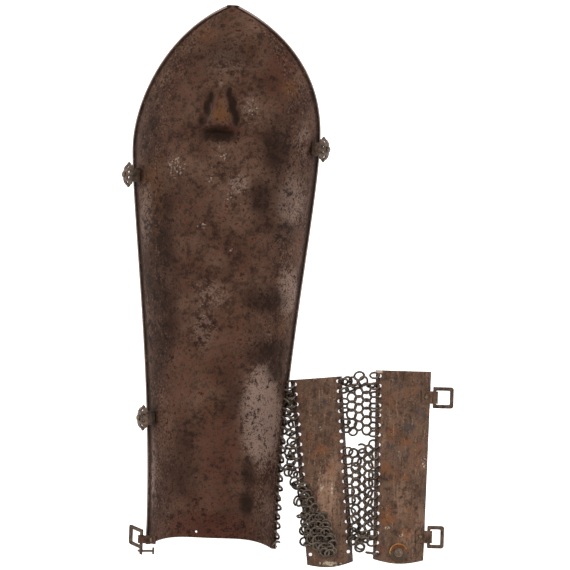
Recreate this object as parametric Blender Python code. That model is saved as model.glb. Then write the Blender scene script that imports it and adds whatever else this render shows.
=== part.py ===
"""Iron forearm guard lying on a table: a gutter plate with a pointed elbow end, and two narrow wrist plates
that were joined to it by mail. Metres, +Z up. The main plate runs along Y, its point towards +Y, and all rests
on z = 0.

Places are first worked out from the middle of the main plate's wrist corners. At the end the whole part hangs
from one empty, which puts the middle of its footprint at the world origin.
"""

import math

import bmesh
import bpy
from mathutils import Matrix, Vector

# Main plate, measured over its rim
PLATE_LENGTH = 0.3457
ELBOW_WIDTH = 0.1205
WRIST_WIDTH = 0.0842
HEAD_LENGTH = 0.0922  # from the point down to the widest place
TIP_WIDTH = 0.0056
HEAD_FULLNESS = 0.0012  # the head's sides bulge this far past a plain arc
HEAD_LEAN = 0.0027  # the head was beaten out this far to the right
SIDE_TAPER = 1.34  # how late the sides draw in below the elbow
SIDE_HOLLOW = 2.2  # and how much they curve in as they do
PLATE_SHEET = 0.0012
RIM = 0.0016  # the turned-out edge
WALL_ANGLE = math.radians(76)  # how far round the section goes from its crown
TIP_ANGLE = math.radians(30)
TIP_RISE = 0.026  # the point stands this far above the table
WRIST_CUT = 0.0074  # the wrist end's edge is hollowed by this
WRIST_LIP = 0.0016  # and its last stretch is flared up by this
LIP_LENGTH = 0.009
HEAD_ROWS = 12
SIDE_ROWS = 13
PLATE_COLUMNS = 22

# Elbow boss, drawn up out of the plate like a nose
BOSS_X = -0.0043
BOSS_DOWN = 0.048  # its top, from the point
BOSS_LENGTH = 0.0285
BOSS_TOP_WIDTH = 0.0075
BOSS_LOW_WIDTH = 0.0240
BOSS_HEIGHT = 0.0105
BOSS_DROP = 0.0042  # the length of its steep lower end

# Mail: the rings are drawn one by one elsewhere, these are the bands that they fill
LINK_HOLE = 0.0011  # radius
LINK_PITCH = 0.0061
HOLE_SIDES = 6
EDGE_HOLES = 17
HOLE_UP_WALL = 0.0042  # from the rim, along the sheet
FIRST_HOLE_Y = 0.0027
SMALL_HOLE_X = -0.0094
SMALL_HOLE_Y = 0.0108
MAIL_THICKNESS = 0.0022
MAIL_LIFT = 0.0002
HEAP_THICKNESS = 0.0055
HEAP_END_SHARE = 0.55  # of that thickness, at its lower end
HEAP_LENGTH = 0.047
HEAP_TOP_WIDTH = 0.006
HEAP_LOW_WIDTH = 0.020
EDGE_ROW_LENGTH = 0.0405
EDGE_ROW_WIDTH = 0.0024
EDGE_ROW_HEIGHT = 0.0036
BAND_ROWS = 6
UPPER_PATCH = (0.077, 0.118)  # from the wrist plates' lower ends
LOWER_PATCH = (0.003, 0.072)
JOINED_PATCH = (0.051, 0.110)
HEAP_START = 0.0065
GAP = 0.0004  # between pieces that touch

# Wrist plates, each in a frame of its own: origin at the middle of its lower end
WRIST_SHEET = 0.0011
WRIST_ARCH = 0.0050
INNER_PLACE = (0.0770, -0.0077)
INNER_TURN = math.radians(6.5)
INNER_LENGTH = 0.1194
INNER_TOP_WIDTH = 0.0331
INNER_LOW_WIDTH = 0.0297
INNER_HOLES = 18
INNER_HOLE_ENDS = (0.0066, 0.0030)  # from the lower and the upper end to the nearest hole
OUTER_PLACE = (0.1206, -0.0039)
OUTER_TURN = math.radians(0.5)
OUTER_LENGTH = 0.1216
OUTER_TOP_WIDTH = 0.0357
OUTER_LOW_WIDTH = 0.0325
OUTER_HOLES = 19
OUTER_HOLE_ENDS = (0.0043, 0.0037)
WRIST_HOLE_INSET = 0.0027
LOW_BOW = 0.0022
LOW_LIP = 0.0010
WRIST_ROWS = 9
WRIST_COLUMNS = 6

# Strap fittings on the main plate's wall: a collar, a pierced rosette and the rivet that holds both
FITTING_SIDES = 8
COLLAR_WIDTH = 0.0088
COLLAR_HEIGHT = 0.0060
COLLAR_LENGTH = 0.0056
ROSETTE_RADIUS = 0.0084
ROSETTE_NOTCH = 0.0013  # how deep the rim is scalloped
ROSETTE_DOME = 0.0032
ROSETTE_SHEET = 0.0009
ROSETTE_LOBES = 8
FITTING_HEIGHT = 0.0100  # of the rivet's hole above the table
UPPER_LEFT_DOWN = 0.1088  # from the plate's point
UPPER_RIGHT_DOWN = 0.0880
MIDDLE_LEFT_Y = 0.0815  # from the wrist

RIVET_SHANK = 0.0010
RIVET_HEAD = 0.0021
RIVET_DOME = 0.0012
RIVET_TAIL = 0.0018
TAIL_DOME = 0.0007
RIVET_CLEARANCE = 0.0003

# Strap buckles: a frame turns on its inner bar, which a rolled clip holds
CLIP_SHEET = 0.0006
CLIP_WIDTH = 0.0080
CLIP_TAB = 0.0056
BARREL = 0.0017  # inner radius of the rolled clip
BAR = 0.0024
BAR_DEPTH = 0.0019
UPPER_FRAME_WIDTH = 0.0138  # along the hinge
UPPER_FRAME_REACH = 0.0124  # from the hinge's axis to the far side
LOWER_FRAME_WIDTH = 0.0146
LOWER_FRAME_REACH = 0.0100
UPPER_BUCKLE_DOWN = 0.0166  # from the outer plate's upper end
LOWER_BUCKLE_Y = 0.0153  # from its lower end
CLIP_RIVET_INSET = 0.0031
CLIP_RIVET_HEAD = 0.0014
CLIP_RIVET_DOME = 0.0009
CLIP_RIVET_TAIL = 0.0013
CLIP_TAIL_DOME = 0.0004
BARREL_START = math.radians(115)
BARREL_SWEEP = math.radians(245)
BARREL_STEPS = 7
FRAME_CORNER = 0.0014
MAIN_HINGE_Y = 0.0034
MAIN_RIVET_UP = 0.0052
MAIN_HINGE_HEIGHT = 0.0052
MAIN_CLIP_WIDTH = 0.0052
MAIN_FRAME_WIDTH = 0.0128
MAIN_FRAME_REACH = 0.0090
MAIN_FRAME_SKEW = 0.0030  # the bent frame's far bar lies this much nearer the elbow
PIVOT_END = 0.0036  # the main buckle's pivot bar sticks out below its frame
PIN_LENGTH = 0.0078
PIN_THICKNESS = 0.0015
PIN_EYE_WIDTH = 0.0014
PIN_CROSS = 0.0046

# Washer and rivet by the hand end of the outer wrist plate
HAND_Y = 0.0051
HAND_WASHER_RADIUS = 0.0058
HAND_WASHER_RISE = 0.0013
HAND_WASHER_SHEET = 0.0008
HAND_HEAD = 0.0029
HAND_DOME = 0.0020

IRON = (0.089, 0.054, 0.043, 1.0)
WRIST_IRON = (0.107, 0.051, 0.033, 1.0)
LINK_IRON = (0.042, 0.037, 0.032, 1.0)
FITTING_IRON = (0.095, 0.065, 0.042, 1.0)
WASHER_BRASS = (0.36, 0.16, 0.05, 1.0)


def material(name, colour, roughness, metallic):
    made = bpy.data.materials.new(name)
    made.use_nodes = True
    shader = made.node_tree.nodes["Principled BSDF"]
    shader.inputs["Base Color"].default_value = colour
    shader.inputs["Roughness"].default_value = roughness
    shader.inputs["Metallic"].default_value = metallic
    return made


def add_piece(name, mesh_builder, colour, roughness=0.6, metallic=0.7, place=None):
    """Turns a bmesh into a named object with a material of its own."""
    bmesh.ops.recalc_face_normals(mesh_builder, faces=mesh_builder.faces)
    mesh = bpy.data.meshes.new(name)
    mesh_builder.to_mesh(mesh)
    mesh_builder.free()
    mesh.materials.append(material(name + "_finish", colour, roughness, metallic))
    piece = bpy.data.objects.new(name, mesh)
    bpy.context.scene.collection.objects.link(piece)
    if place is not None:
        piece.matrix_world = place
    return piece


def thicken(piece, sheet):
    """Gives an open surface the sheet's thickness, inwards."""
    wall = piece.modifiers.new("sheet", "SOLIDIFY")
    wall.thickness = sheet
    wall.offset = -1
    wall.use_even_offset = True


def combine(piece, mesh_builder, place, operation):
    helper = add_piece(piece.name + "_helper", mesh_builder, IRON, place=place)
    helper.hide_render = True
    helper.display_type = "WIRE"
    boolean = piece.modifiers.new(operation.lower(), "BOOLEAN")
    boolean.operation = operation
    boolean.object = helper


def cut(piece, mesh_builder, place):
    """Cuts the shapes of mesh_builder, given in the frame of place, out of the piece."""
    combine(piece, mesh_builder, place, "DIFFERENCE")


def join(piece, mesh_builder, place):
    """Makes the piece and the shape of mesh_builder one body."""
    combine(piece, mesh_builder, place, "UNION")


def add_rod(mesh_builder, centre, axis, radius, length, sides):
    """Adds a closed cylinder along axis."""
    turn = Vector(axis).to_track_quat("Z", "Y").to_matrix().to_4x4()
    bmesh.ops.create_cone(
        mesh_builder, cap_ends=True, segments=sides, radius1=radius, radius2=radius, depth=length,
        matrix=Matrix.Translation(centre) @ turn,
    )


def lathe(profile, sides, closed=False):
    """A turned solid from (radius, height) points that start and end on the axis, or form a ring if closed."""
    turned = bmesh.new()
    rings = []
    for radius, height in profile:
        if radius == 0:
            rings.append([turned.verts.new((0, 0, height))] * sides)
            continue
        angles = [2 * math.pi * k / sides for k in range(sides)]
        rings.append([turned.verts.new((radius * math.cos(a), radius * math.sin(a), height)) for a in angles])
    pairs = list(zip(rings, rings[1:])) + ([(rings[-1], rings[0])] if closed else [])
    for upper, lower in pairs:
        for k in range(sides):
            corners = [upper[k], upper[(k + 1) % sides], lower[(k + 1) % sides], lower[k]]
            turned.faces.new(list(dict.fromkeys(corners)))
    return turned


def strip(centreline, thickness, low, high):
    """A bent strip: its centreline lies in the XZ plane, and it runs from y = low to y = high."""
    near, far = [], []
    for k, point in enumerate(centreline):
        before, after = centreline[max(k - 1, 0)], centreline[min(k + 1, len(centreline) - 1)]
        along = (Vector(after) - Vector(before)).normalized()
        side = Vector((-along.y, along.x)) * thickness / 2
        near.append(Vector(point) + side)
        far.append(Vector(point) - side)
    made = bmesh.new()
    rows = [[made.verts.new((p.x, y, p.y)) for p in side] for y in (low, high) for side in (near, far)]
    low_near, low_far, high_near, high_far = rows
    for k in range(len(centreline) - 1):
        for first, second in zip((low_near, low_far, high_far, high_near), (low_far, high_far, high_near, low_near)):
            made.faces.new((first[k], first[k + 1], second[k + 1], second[k]))
    for k in (0, -1):
        made.faces.new((low_near[k], low_far[k], high_far[k], high_near[k]))
    return made


def loft(sections):
    """A closed solid through sections of equally many points."""
    made = bmesh.new()
    rings = [[made.verts.new(point) for point in section] for section in sections]
    count = len(rings[0])
    for first, second in zip(rings, rings[1:]):
        for k in range(count):
            made.faces.new((first[k], first[(k + 1) % count], second[(k + 1) % count], second[k]))
    made.faces.new(rings[0])
    made.faces.new(rings[-1])
    return made


def smooth(share):
    share = min(max(share, 0.0), 1.0)
    return share * share * (3 - 2 * share)


def blend(first, last, share):
    return first + (last - first) * share


def half_width(down):
    """Half the plate's width between its walls' outer faces, at a distance down from the point."""
    elbow, wrist = ELBOW_WIDTH / 2 - RIM, WRIST_WIDTH / 2 - RIM
    if down < HEAD_LENGTH:
        radius = (HEAD_LENGTH**2 + elbow**2) / (2 * elbow)
        arc = elbow - radius + math.sqrt(radius**2 - (HEAD_LENGTH - down) ** 2)
        share = down / HEAD_LENGTH
        return arc + TIP_WIDTH / 2 * (1 - share) ** 2 + HEAD_FULLNESS * math.sin(math.pi * share)
    share = (down - HEAD_LENGTH) / (PLATE_LENGTH - HEAD_LENGTH)
    return blend(wrist, elbow, (1 - share**SIDE_TAPER) ** SIDE_HOLLOW)


def lean(down):
    """How far the head's middle lies to the right of the plate's axis, most at three eighths of its length."""
    share = min((down / HEAD_LENGTH + 0.25) / 1.25, 1.0)
    return HEAD_LEAN * math.sin(math.pi * share) ** 1.5


def section(down):
    """The section there: its radius, its half angle and the height of its edge."""
    head = max(1 - down / HEAD_LENGTH, 0.0)
    angle = blend(WALL_ANGLE, TIP_ANGLE, head**1.2)
    return half_width(down) / math.sin(angle), angle, PLATE_SHEET + TIP_RISE * smooth(head)


def boss(x, down):
    """How far the elbow boss lifts the sheet."""
    along = (down - BOSS_DOWN) / BOSS_LENGTH
    past = (down - BOSS_DOWN - BOSS_LENGTH) / BOSS_DROP
    if along <= 0 or past >= 1:
        return 0.0
    half = blend(BOSS_TOP_WIDTH, BOSS_LOW_WIDTH, min(along, 1.0) ** 1.4) / 2
    across = min(abs(x - BOSS_X) / half, 1.0)
    rise = BOSS_HEIGHT * math.sin(math.pi / 2 * min(along, 1.0)) ** 1.4
    return rise * (1 - max(past, 0.0)) * (1 - across**2)


def plate_point(down, share):
    """A point of the outer surface: share runs from -1 at the left edge to 1 at the right one."""
    radius, angle, edge = section(down)
    turn = share * angle
    across = radius * math.sin(turn)
    x = lean(down) + across
    cut_share = smooth((down / PLATE_LENGTH - 0.6) / 0.4)
    y = PLATE_LENGTH - down + WRIST_CUT * cut_share * (1 - (across / half_width(down)) ** 4)
    lip = WRIST_LIP * max(1 - (PLATE_LENGTH - down) / LIP_LENGTH, 0.0) ** 2
    z = edge + radius * (math.cos(turn) - math.cos(angle)) + lip * (1 - share**2) ** 2 + boss(x, down)
    return Vector((x, y, z))


def wall_place(y, up, side):
    """A point on the main plate's wall, at a height up, and the way out from it. Side is -1 on the left."""
    radius, angle, edge = section(PLATE_LENGTH - y)
    turn = math.acos((up - edge) / radius + math.cos(angle))
    out = Vector((side * math.sin(turn), 0, math.cos(turn)))
    return Vector((lean(PLATE_LENGTH - y) + side * radius * math.sin(turn), y, up)), out


def facing(point, out):
    """The matrix that puts a piece at a point of the wall, its Z pointing out and its Y along the arm."""
    across = Vector((0, 1, 0)).cross(out)
    turn = Matrix((across, (0, 1, 0), out)).transposed().to_4x4()
    return Matrix.Translation(point) @ turn


def add_rim(surface, edge):
    """Turns the sheet out along its edge, level with it."""
    outer = []
    for k, vertex in enumerate(edge):
        before, after = edge[max(k - 1, 0)].co, edge[min(k + 1, len(edge) - 1)].co
        along = (after - before).xy.normalized()
        outer.append(surface.verts.new(vertex.co + Vector((-along.y, along.x, 0)) * RIM))
    for k in range(len(edge) - 1):
        surface.faces.new((edge[k], edge[k + 1], outer[k + 1], outer[k]))


def refine_boss(surface):
    """Makes the grid finer round the boss and lays it on the true surface."""
    half = BOSS_LOW_WIDTH / 2
    near = []
    for face in surface.faces:
        centre = face.calc_center_median()
        down = PLATE_LENGTH - centre.y
        beside = abs(centre.x - BOSS_X) < half + 0.003
        if beside and BOSS_DOWN - 0.004 < down < BOSS_DOWN + BOSS_LENGTH + 0.009:
            near.append(face)
    edges = list({edge for face in near for edge in face.edges})
    made = bmesh.ops.subdivide_edges(surface, edges=edges, cuts=2, use_grid_fill=True)
    for vertex in {item for item in made["geom"] if isinstance(item, bmesh.types.BMVert)}:
        down = PLATE_LENGTH - vertex.co.y
        radius, angle, edge = section(down)
        share = math.asin((vertex.co.x - lean(down)) / radius) / angle
        vertex.co.z = plate_point(down, share).z


def make_main_plate():
    surface = bmesh.new()
    downs = [HEAD_LENGTH * k / HEAD_ROWS for k in range(HEAD_ROWS)]
    body = PLATE_LENGTH - HEAD_LENGTH - LIP_LENGTH
    downs += [HEAD_LENGTH + body * k / SIDE_ROWS for k in range(SIDE_ROWS + 1)]
    downs += [PLATE_LENGTH - LIP_LENGTH / 2, PLATE_LENGTH]
    shares = [2 * k / PLATE_COLUMNS - 1 for k in range(PLATE_COLUMNS + 1)]
    grid = [[surface.verts.new(plate_point(down, share)) for share in shares] for down in downs]
    for upper, lower in zip(grid, grid[1:]):
        for k in range(PLATE_COLUMNS):
            surface.faces.new((upper[k], lower[k], lower[k + 1], upper[k + 1]))
    left = [row[0] for row in reversed(grid)]
    right = [row[-1] for row in grid]
    add_rim(surface, left + grid[0][1:-1] + right)
    refine_boss(surface)
    plate = add_piece("main_plate", surface, IRON)
    thicken(plate, PLATE_SHEET)
    holes = bmesh.new()
    for k in range(EDGE_HOLES):
        up = PLATE_SHEET + HOLE_UP_WALL
        point, out = wall_place(FIRST_HOLE_Y + k * LINK_PITCH, up, 1)
        add_rod(holes, point, out, LINK_HOLE, 4 * PLATE_SHEET, HOLE_SIDES)
    for place in fitting_places().values():
        add_rod(holes, *place, RIVET_SHANK + RIVET_CLEARANCE, 4 * PLATE_SHEET, FITTING_SIDES)
    add_rod(holes, *main_clip_rivet(), RIVET_SHANK + RIVET_CLEARANCE, 4 * PLATE_SHEET, FITTING_SIDES)
    down = PLATE_LENGTH - LIP_LENGTH
    crown = plate_point(down, math.asin(SMALL_HOLE_X / section(down)[0]) / WALL_ANGLE)
    small_hole = (SMALL_HOLE_X, SMALL_HOLE_Y, crown.z)
    add_rod(holes, small_hole, (0, 0, 1), LINK_HOLE, 8 * PLATE_SHEET, HOLE_SIDES)
    cut(plate, holes, Matrix.Identity(4))


def fitting_places():
    """Where each strap fitting's rivet goes through the wall, and the way out."""
    spots = {
        "upper_left": (PLATE_LENGTH - UPPER_LEFT_DOWN, -1),
        "upper_right": (PLATE_LENGTH - UPPER_RIGHT_DOWN, 1),
        "middle_left": (MIDDLE_LEFT_Y, -1),
    }
    return {name: wall_place(y, FITTING_HEIGHT, side) for name, (y, side) in spots.items()}


def rivet_profile(grip, head=RIVET_HEAD, dome=RIVET_DOME, tail=RIVET_TAIL, tail_dome=TAIL_DOME):
    """A rivet whose head sits on z = 0 and whose tail is below the grip."""
    return (
        (0, dome), (head * 0.7, dome * 0.75), (head, 0), (RIVET_SHANK, 0), (RIVET_SHANK, -grip),
        (tail, -grip), (tail * 0.6, -grip - tail_dome), (0, -grip - tail_dome),
    )


def make_collar(name, place):
    """The square block between the wall and a rosette, bored for the rivet."""
    half_x, half_y = COLLAR_HEIGHT / 2, COLLAR_WIDTH / 2
    outline = ((-half_x, -half_y), (half_x, -half_y), (half_x, half_y), (-half_x, half_y))
    levels = (GAP, GAP + COLLAR_LENGTH)
    block = loft([[(x, y, z) for x, y in outline] for z in levels])
    collar = add_piece(name, block, FITTING_IRON, place=place)
    bore = bmesh.new()
    middle = (0, 0, GAP + COLLAR_LENGTH / 2)
    add_rod(bore, middle, (0, 0, 1), RIVET_SHANK + RIVET_CLEARANCE, 2 * COLLAR_LENGTH, FITTING_SIDES)
    cut(collar, bore, place)


def make_rosette(name, place, base):
    """A domed sheet with a scalloped rim, pierced between its lobes."""
    surface = bmesh.new()
    sides = 2 * ROSETTE_LOBES
    bore = RIVET_SHANK + RIVET_CLEARANCE
    rings = []
    for share in (0.0, 0.36, 0.7, 1.0):
        ring = []
        for k in range(sides):
            notch = ROSETTE_NOTCH * share**3 * (k % 2)
            radius = blend(bore, ROSETTE_RADIUS - notch, share)
            turn = 2 * math.pi * k / sides
            height = base + ROSETTE_SHEET + ROSETTE_DOME * (1 - share**2)
            ring.append(surface.verts.new((radius * math.cos(turn), radius * math.sin(turn), height)))
        rings.append(ring)
    for level, (inner, outer) in enumerate(zip(rings, rings[1:])):
        for k in range(sides):
            if level == 1 and k % 2:
                continue
            after = (k + 1) % sides
            surface.faces.new((inner[k], outer[k], outer[after], inner[after]))
    rosette = add_piece(name, surface, FITTING_IRON, place=place)
    if rosette.data.polygons[0].normal.z < 0:
        rosette.data.flip_normals()
    thicken(rosette, ROSETTE_SHEET)


def make_fittings():
    for name, (point, out) in fitting_places().items():
        place = facing(point, out)
        make_collar(name + "_collar", place)
        base = 2 * GAP + COLLAR_LENGTH
        make_rosette(name + "_rosette", place, base)
        head = base + ROSETTE_SHEET + ROSETTE_DOME + GAP
        rivet = lathe(rivet_profile(head + PLATE_SHEET + GAP), FITTING_SIDES)
        add_piece(name + "_rivet", rivet, FITTING_IRON, place=place @ Matrix.Translation((0, 0, head)))


def wrist_place(place, turn):
    return Matrix.Translation((*place, 0)) @ Matrix.Rotation(turn, 4, "Z")


def arch(share, width):
    """Height of a wrist plate's outer face, at a share of its half width from the middle."""
    slope = math.atan(4 * WRIST_ARCH / width)
    return WRIST_SHEET * math.cos(slope) + WRIST_ARCH * (1 - share**2)


def make_wrist_plate(name, place, length, low_width, top_width, holes):
    surface = bmesh.new()
    grid = []
    lows = [length * k / WRIST_ROWS for k in range(WRIST_ROWS + 1)]
    lows.insert(1, LIP_LENGTH / 2)
    for low in lows:
        row = []
        for k in range(WRIST_COLUMNS + 1):
            share = 2 * k / WRIST_COLUMNS - 1
            width = blend(low_width, top_width, low / length)
            bow = LOW_BOW * (1 - low / length) ** 3 * (1 - share**2)
            lip = LOW_LIP * max(1 - 2 * low / LIP_LENGTH, 0.0) * (1 - share**2)
            row.append(surface.verts.new((share * width / 2, low - bow, arch(share, width) + lip)))
        grid.append(row)
    for lower, upper in zip(grid, grid[1:]):
        for k in range(WRIST_COLUMNS):
            surface.faces.new((lower[k], lower[k + 1], upper[k + 1], upper[k]))
    plate = add_piece(name, surface, WRIST_IRON, place=place)
    thicken(plate, WRIST_SHEET)
    cutters = bmesh.new()
    for point, axis, radius, sides in holes:
        add_rod(cutters, point, axis, radius, 2 * WRIST_ARCH, sides)
    cut(plate, cutters, place)


def link_holes(side, count, ends, length, low_width, top_width):
    """A row of mail holes along one long edge of a wrist plate."""
    first = ends[0]
    step = (length - sum(ends)) / (count - 1)
    for k in range(count):
        low = first + k * step
        x = side * (blend(low_width, top_width, low / length) / 2 - WRIST_HOLE_INSET)
        yield (x, low, WRIST_ARCH / 2), (0, 0, 1), LINK_HOLE, HOLE_SIDES


def outer_half(low):
    return blend(OUTER_LOW_WIDTH, OUTER_TOP_WIDTH, low / OUTER_LENGTH) / 2


def make_wrist_plates():
    inner = (INNER_LENGTH, INNER_LOW_WIDTH, INNER_TOP_WIDTH)
    rows = [hole for side in (-1, 1) for hole in link_holes(side, INNER_HOLES, INNER_HOLE_ENDS, *inner)]
    make_wrist_plate("inner_wrist_plate", wrist_place(INNER_PLACE, INNER_TURN), *inner, rows)
    outer = (OUTER_LENGTH, OUTER_LOW_WIDTH, OUTER_TOP_WIDTH)
    place = wrist_place(OUTER_PLACE, OUTER_TURN)
    rows = list(link_holes(-1, OUTER_HOLES, OUTER_HOLE_ENDS, *outer))
    bore = RIVET_SHANK + RIVET_CLEARANCE
    for low in (OUTER_LENGTH - UPPER_BUCKLE_DOWN, LOWER_BUCKLE_Y):
        spot = place.inverted() @ wrist_rivet_place(low)
        rows.append((spot.translation, spot.to_3x3() @ Vector((0, 0, 1)), bore, FITTING_SIDES))
    rows.append(((0, HAND_Y, WRIST_ARCH), (0, 0, 1), bore, FITTING_SIDES))
    make_wrist_plate("outer_wrist_plate", place, *outer, rows)


def barrel_line():
    """The rolled end of a clip, from its top over the outside and back under, round the hinge axis."""
    radius = BARREL + CLIP_SHEET / 2
    turns = [BARREL_START - BARREL_SWEEP * k / BARREL_STEPS for k in range(BARREL_STEPS + 1)]
    return [(radius * math.cos(turn), radius * math.sin(turn)) for turn in turns]


def make_clip(name, hinge, tab, width, rivet_place):
    """A strip that lies on the plate and is rolled round the frame's inner bar, riveted through its tab."""
    rolled = strip(tab + barrel_line(), CLIP_SHEET, -width / 2, width / 2)
    clip = add_piece(name + "_clip", rolled, FITTING_IRON, place=hinge)
    bore = bmesh.new()
    through = 6 * CLIP_SHEET + 2 * GAP
    add_rod(bore, (0, 0, 0), (0, 0, 1), RIVET_SHANK + RIVET_CLEARANCE, through, FITTING_SIDES)
    cut(clip, bore, rivet_place)
    head = 2 * GAP + CLIP_SHEET
    grip = head + PLATE_SHEET + GAP
    profile = rivet_profile(grip, CLIP_RIVET_HEAD, CLIP_RIVET_DOME, CLIP_RIVET_TAIL, CLIP_TAIL_DOME)
    place = rivet_place @ Matrix.Translation((0, 0, head))
    add_piece(name + "_rivet", lathe(profile, FITTING_SIDES), FITTING_IRON, place=place)


def make_frame(name, hinge, width, reach, skew=0.0, tail=0.0):
    """A buckle frame. Its origin is on the hinge axis, its X points to the far bar, which droops to the table."""
    half, depth = width / 2, BAR_DEPTH / 2

    def corner(side, turns):
        x, y = reach - FRAME_CORNER, side * (half - FRAME_CORNER)
        angles = [math.radians(turn) for turn in turns]
        return [(x + FRAME_CORNER * math.cos(angle), y + FRAME_CORNER * math.sin(angle)) for angle in angles]

    far_end = [*corner(-1, (-90, -45, 0)), *corner(1, (0, 45, 90))]
    outline = [(-depth, -half), (depth, -half), *far_end, (depth, half)]
    outline += [(depth, half + tail), (-depth, half + tail)] if tail else [(-depth, half)]
    sheared = [(x, y + skew * x / reach) for x, y in outline]
    droop = math.asin((hinge.translation.z - depth - MAIL_LIFT) / reach)
    place = hinge @ Matrix.Rotation(droop, 4, "Y")
    block = loft([[(x, y, z) for x, y in sheared] for z in (-depth, depth)])
    frame = add_piece(name, block, FITTING_IRON, place=place)
    inner, far = half - BAR, reach - BAR
    opening = [(depth, -inner), (far, -inner), (far, inner), (depth, inner)]
    window = [(x, y + skew * x / reach) for x, y in opening]
    cut(frame, loft([[(x, y, z) for x, y in window] for z in (-BAR, BAR)]), place)


def wrist_rivet_place(low):
    """On the outer wrist plate, where a buckle's rivet goes through it."""
    half = outer_half(low)
    x = half - CLIP_RIVET_INSET
    slope = math.atan(2 * WRIST_ARCH * x / half**2)
    spot = Matrix.Translation((x, low, arch(x / half, 2 * half)))
    return wrist_place(OUTER_PLACE, OUTER_TURN) @ spot @ Matrix.Rotation(slope, 4, "Y")


def make_wrist_buckle(name, low, frame_width, frame_reach):
    half = outer_half(low)
    reach = GAP + BARREL + CLIP_SHEET
    height = BARREL + CLIP_SHEET + MAIL_LIFT
    hinge = wrist_place(OUTER_PLACE, OUTER_TURN) @ Matrix.Translation((half + reach, low, height))
    tab = []
    for inset in (CLIP_TAB, CLIP_TAB * 0.75, CLIP_TAB * 0.45, CLIP_TAB * 0.2, GAP):
        x = half - inset
        slope = math.atan(2 * WRIST_ARCH * x / half**2)
        lift = (GAP + CLIP_SHEET / 2) / math.cos(slope)
        tab.append((x - half - reach, arch(x / half, 2 * half) + lift - height))
    make_clip(name, hinge, tab, CLIP_WIDTH, wrist_rivet_place(low))
    make_frame(name + "_frame", hinge, frame_width, frame_reach)


def main_clip_rivet():
    return wall_place(MAIN_HINGE_Y, MAIN_HINGE_HEIGHT + MAIN_RIVET_UP, -1)


def make_main_buckle():
    rim = half_width(PLATE_LENGTH - MAIN_HINGE_Y) + RIM
    out = rim + GAP + BARREL + CLIP_SHEET
    hinge = Matrix.Translation((-out, MAIN_HINGE_Y, MAIN_HINGE_HEIGHT)) @ Matrix.Rotation(math.pi, 4, "Z")
    tab = []
    for up in (MAIN_RIVET_UP * 1.7, MAIN_RIVET_UP * 1.2, MAIN_RIVET_UP * 0.7, MAIN_RIVET_UP * 0.35):
        point, normal = wall_place(MAIN_HINGE_Y, MAIN_HINGE_HEIGHT + up, -1)
        point += normal * (GAP + CLIP_SHEET / 2)
        tab.append((-point.x - out, point.z - MAIN_HINGE_HEIGHT))
    make_clip("main_buckle", hinge, tab, MAIN_CLIP_WIDTH, facing(*main_clip_rivet()))
    make_frame("main_buckle_frame", hinge, MAIN_FRAME_WIDTH, MAIN_FRAME_REACH, -MAIN_FRAME_SKEW, PIVOT_END)
    start = MAIN_FRAME_WIDTH / 2 + GAP
    droop = MAIN_HINGE_HEIGHT - PIN_THICKNESS - MAIL_LIFT
    line = [(-PIN_LENGTH, -droop), (-PIN_LENGTH * 0.55, -droop * 0.35), (-BARREL * 1.3, BARREL * 0.7)]
    eye = strip(line + barrel_line(), CLIP_SHEET, start, start + PIN_EYE_WIDTH)
    pin = add_piece("main_buckle_pin", eye, FITTING_IRON, place=hinge)
    cross = bmesh.new()
    middle = start + PIN_EYE_WIDTH / 2
    add_rod(cross, (-PIN_LENGTH, middle, -droop), (0, 1, 0), PIN_THICKNESS / 2, PIN_CROSS, HOLE_SIDES)
    join(pin, cross, hinge)


def make_hand_rivet():
    """The washer and rivet by the outer plate's lower end."""
    top = arch(0, OUTER_LOW_WIDTH) + LOW_LIP / 2
    place = wrist_place(OUTER_PLACE, OUTER_TURN) @ Matrix.Translation((0, HAND_Y, top))
    bore = RIVET_SHANK + RIVET_CLEARANCE
    profile = (
        (bore, GAP + HAND_WASHER_RISE), (HAND_WASHER_RADIUS * 0.7, GAP + HAND_WASHER_RISE),
        (HAND_WASHER_RADIUS, GAP), (HAND_WASHER_RADIUS, GAP + HAND_WASHER_SHEET),
        (HAND_WASHER_RADIUS * 0.72, GAP + HAND_WASHER_RISE + HAND_WASHER_SHEET),
        (bore, GAP + HAND_WASHER_RISE + HAND_WASHER_SHEET),
    )
    add_piece("hand_washer", lathe(profile, 16, closed=True), WASHER_BRASS, 0.45, 0.9, place)
    head = 2 * GAP + HAND_WASHER_RISE + HAND_WASHER_SHEET
    rivet = lathe(rivet_profile(head + WRIST_SHEET + 2 * GAP, HAND_HEAD, HAND_DOME), FITTING_SIDES)
    add_piece("hand_rivet", rivet, FITTING_IRON, place=place @ Matrix.Translation((0, 0, head)))


def wrist_edge(place, side, low, length, low_width, top_width):
    """A point of a wrist plate's long edge, on the table."""
    return place @ Vector((side * blend(low_width, top_width, low / length) / 2, low, 0))


def make_band(name, left, right, bottom, thickness):
    """A flat band of mail between two rows of points."""
    sections = []
    for first, last in zip(left, right):
        corners = ((first, bottom), (last, bottom), (last, bottom + thickness), (first, bottom + thickness))
        sections.append([(point.x, point.y, height) for point, height in corners])
    add_piece(name, loft(sections), LINK_IRON)


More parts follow.
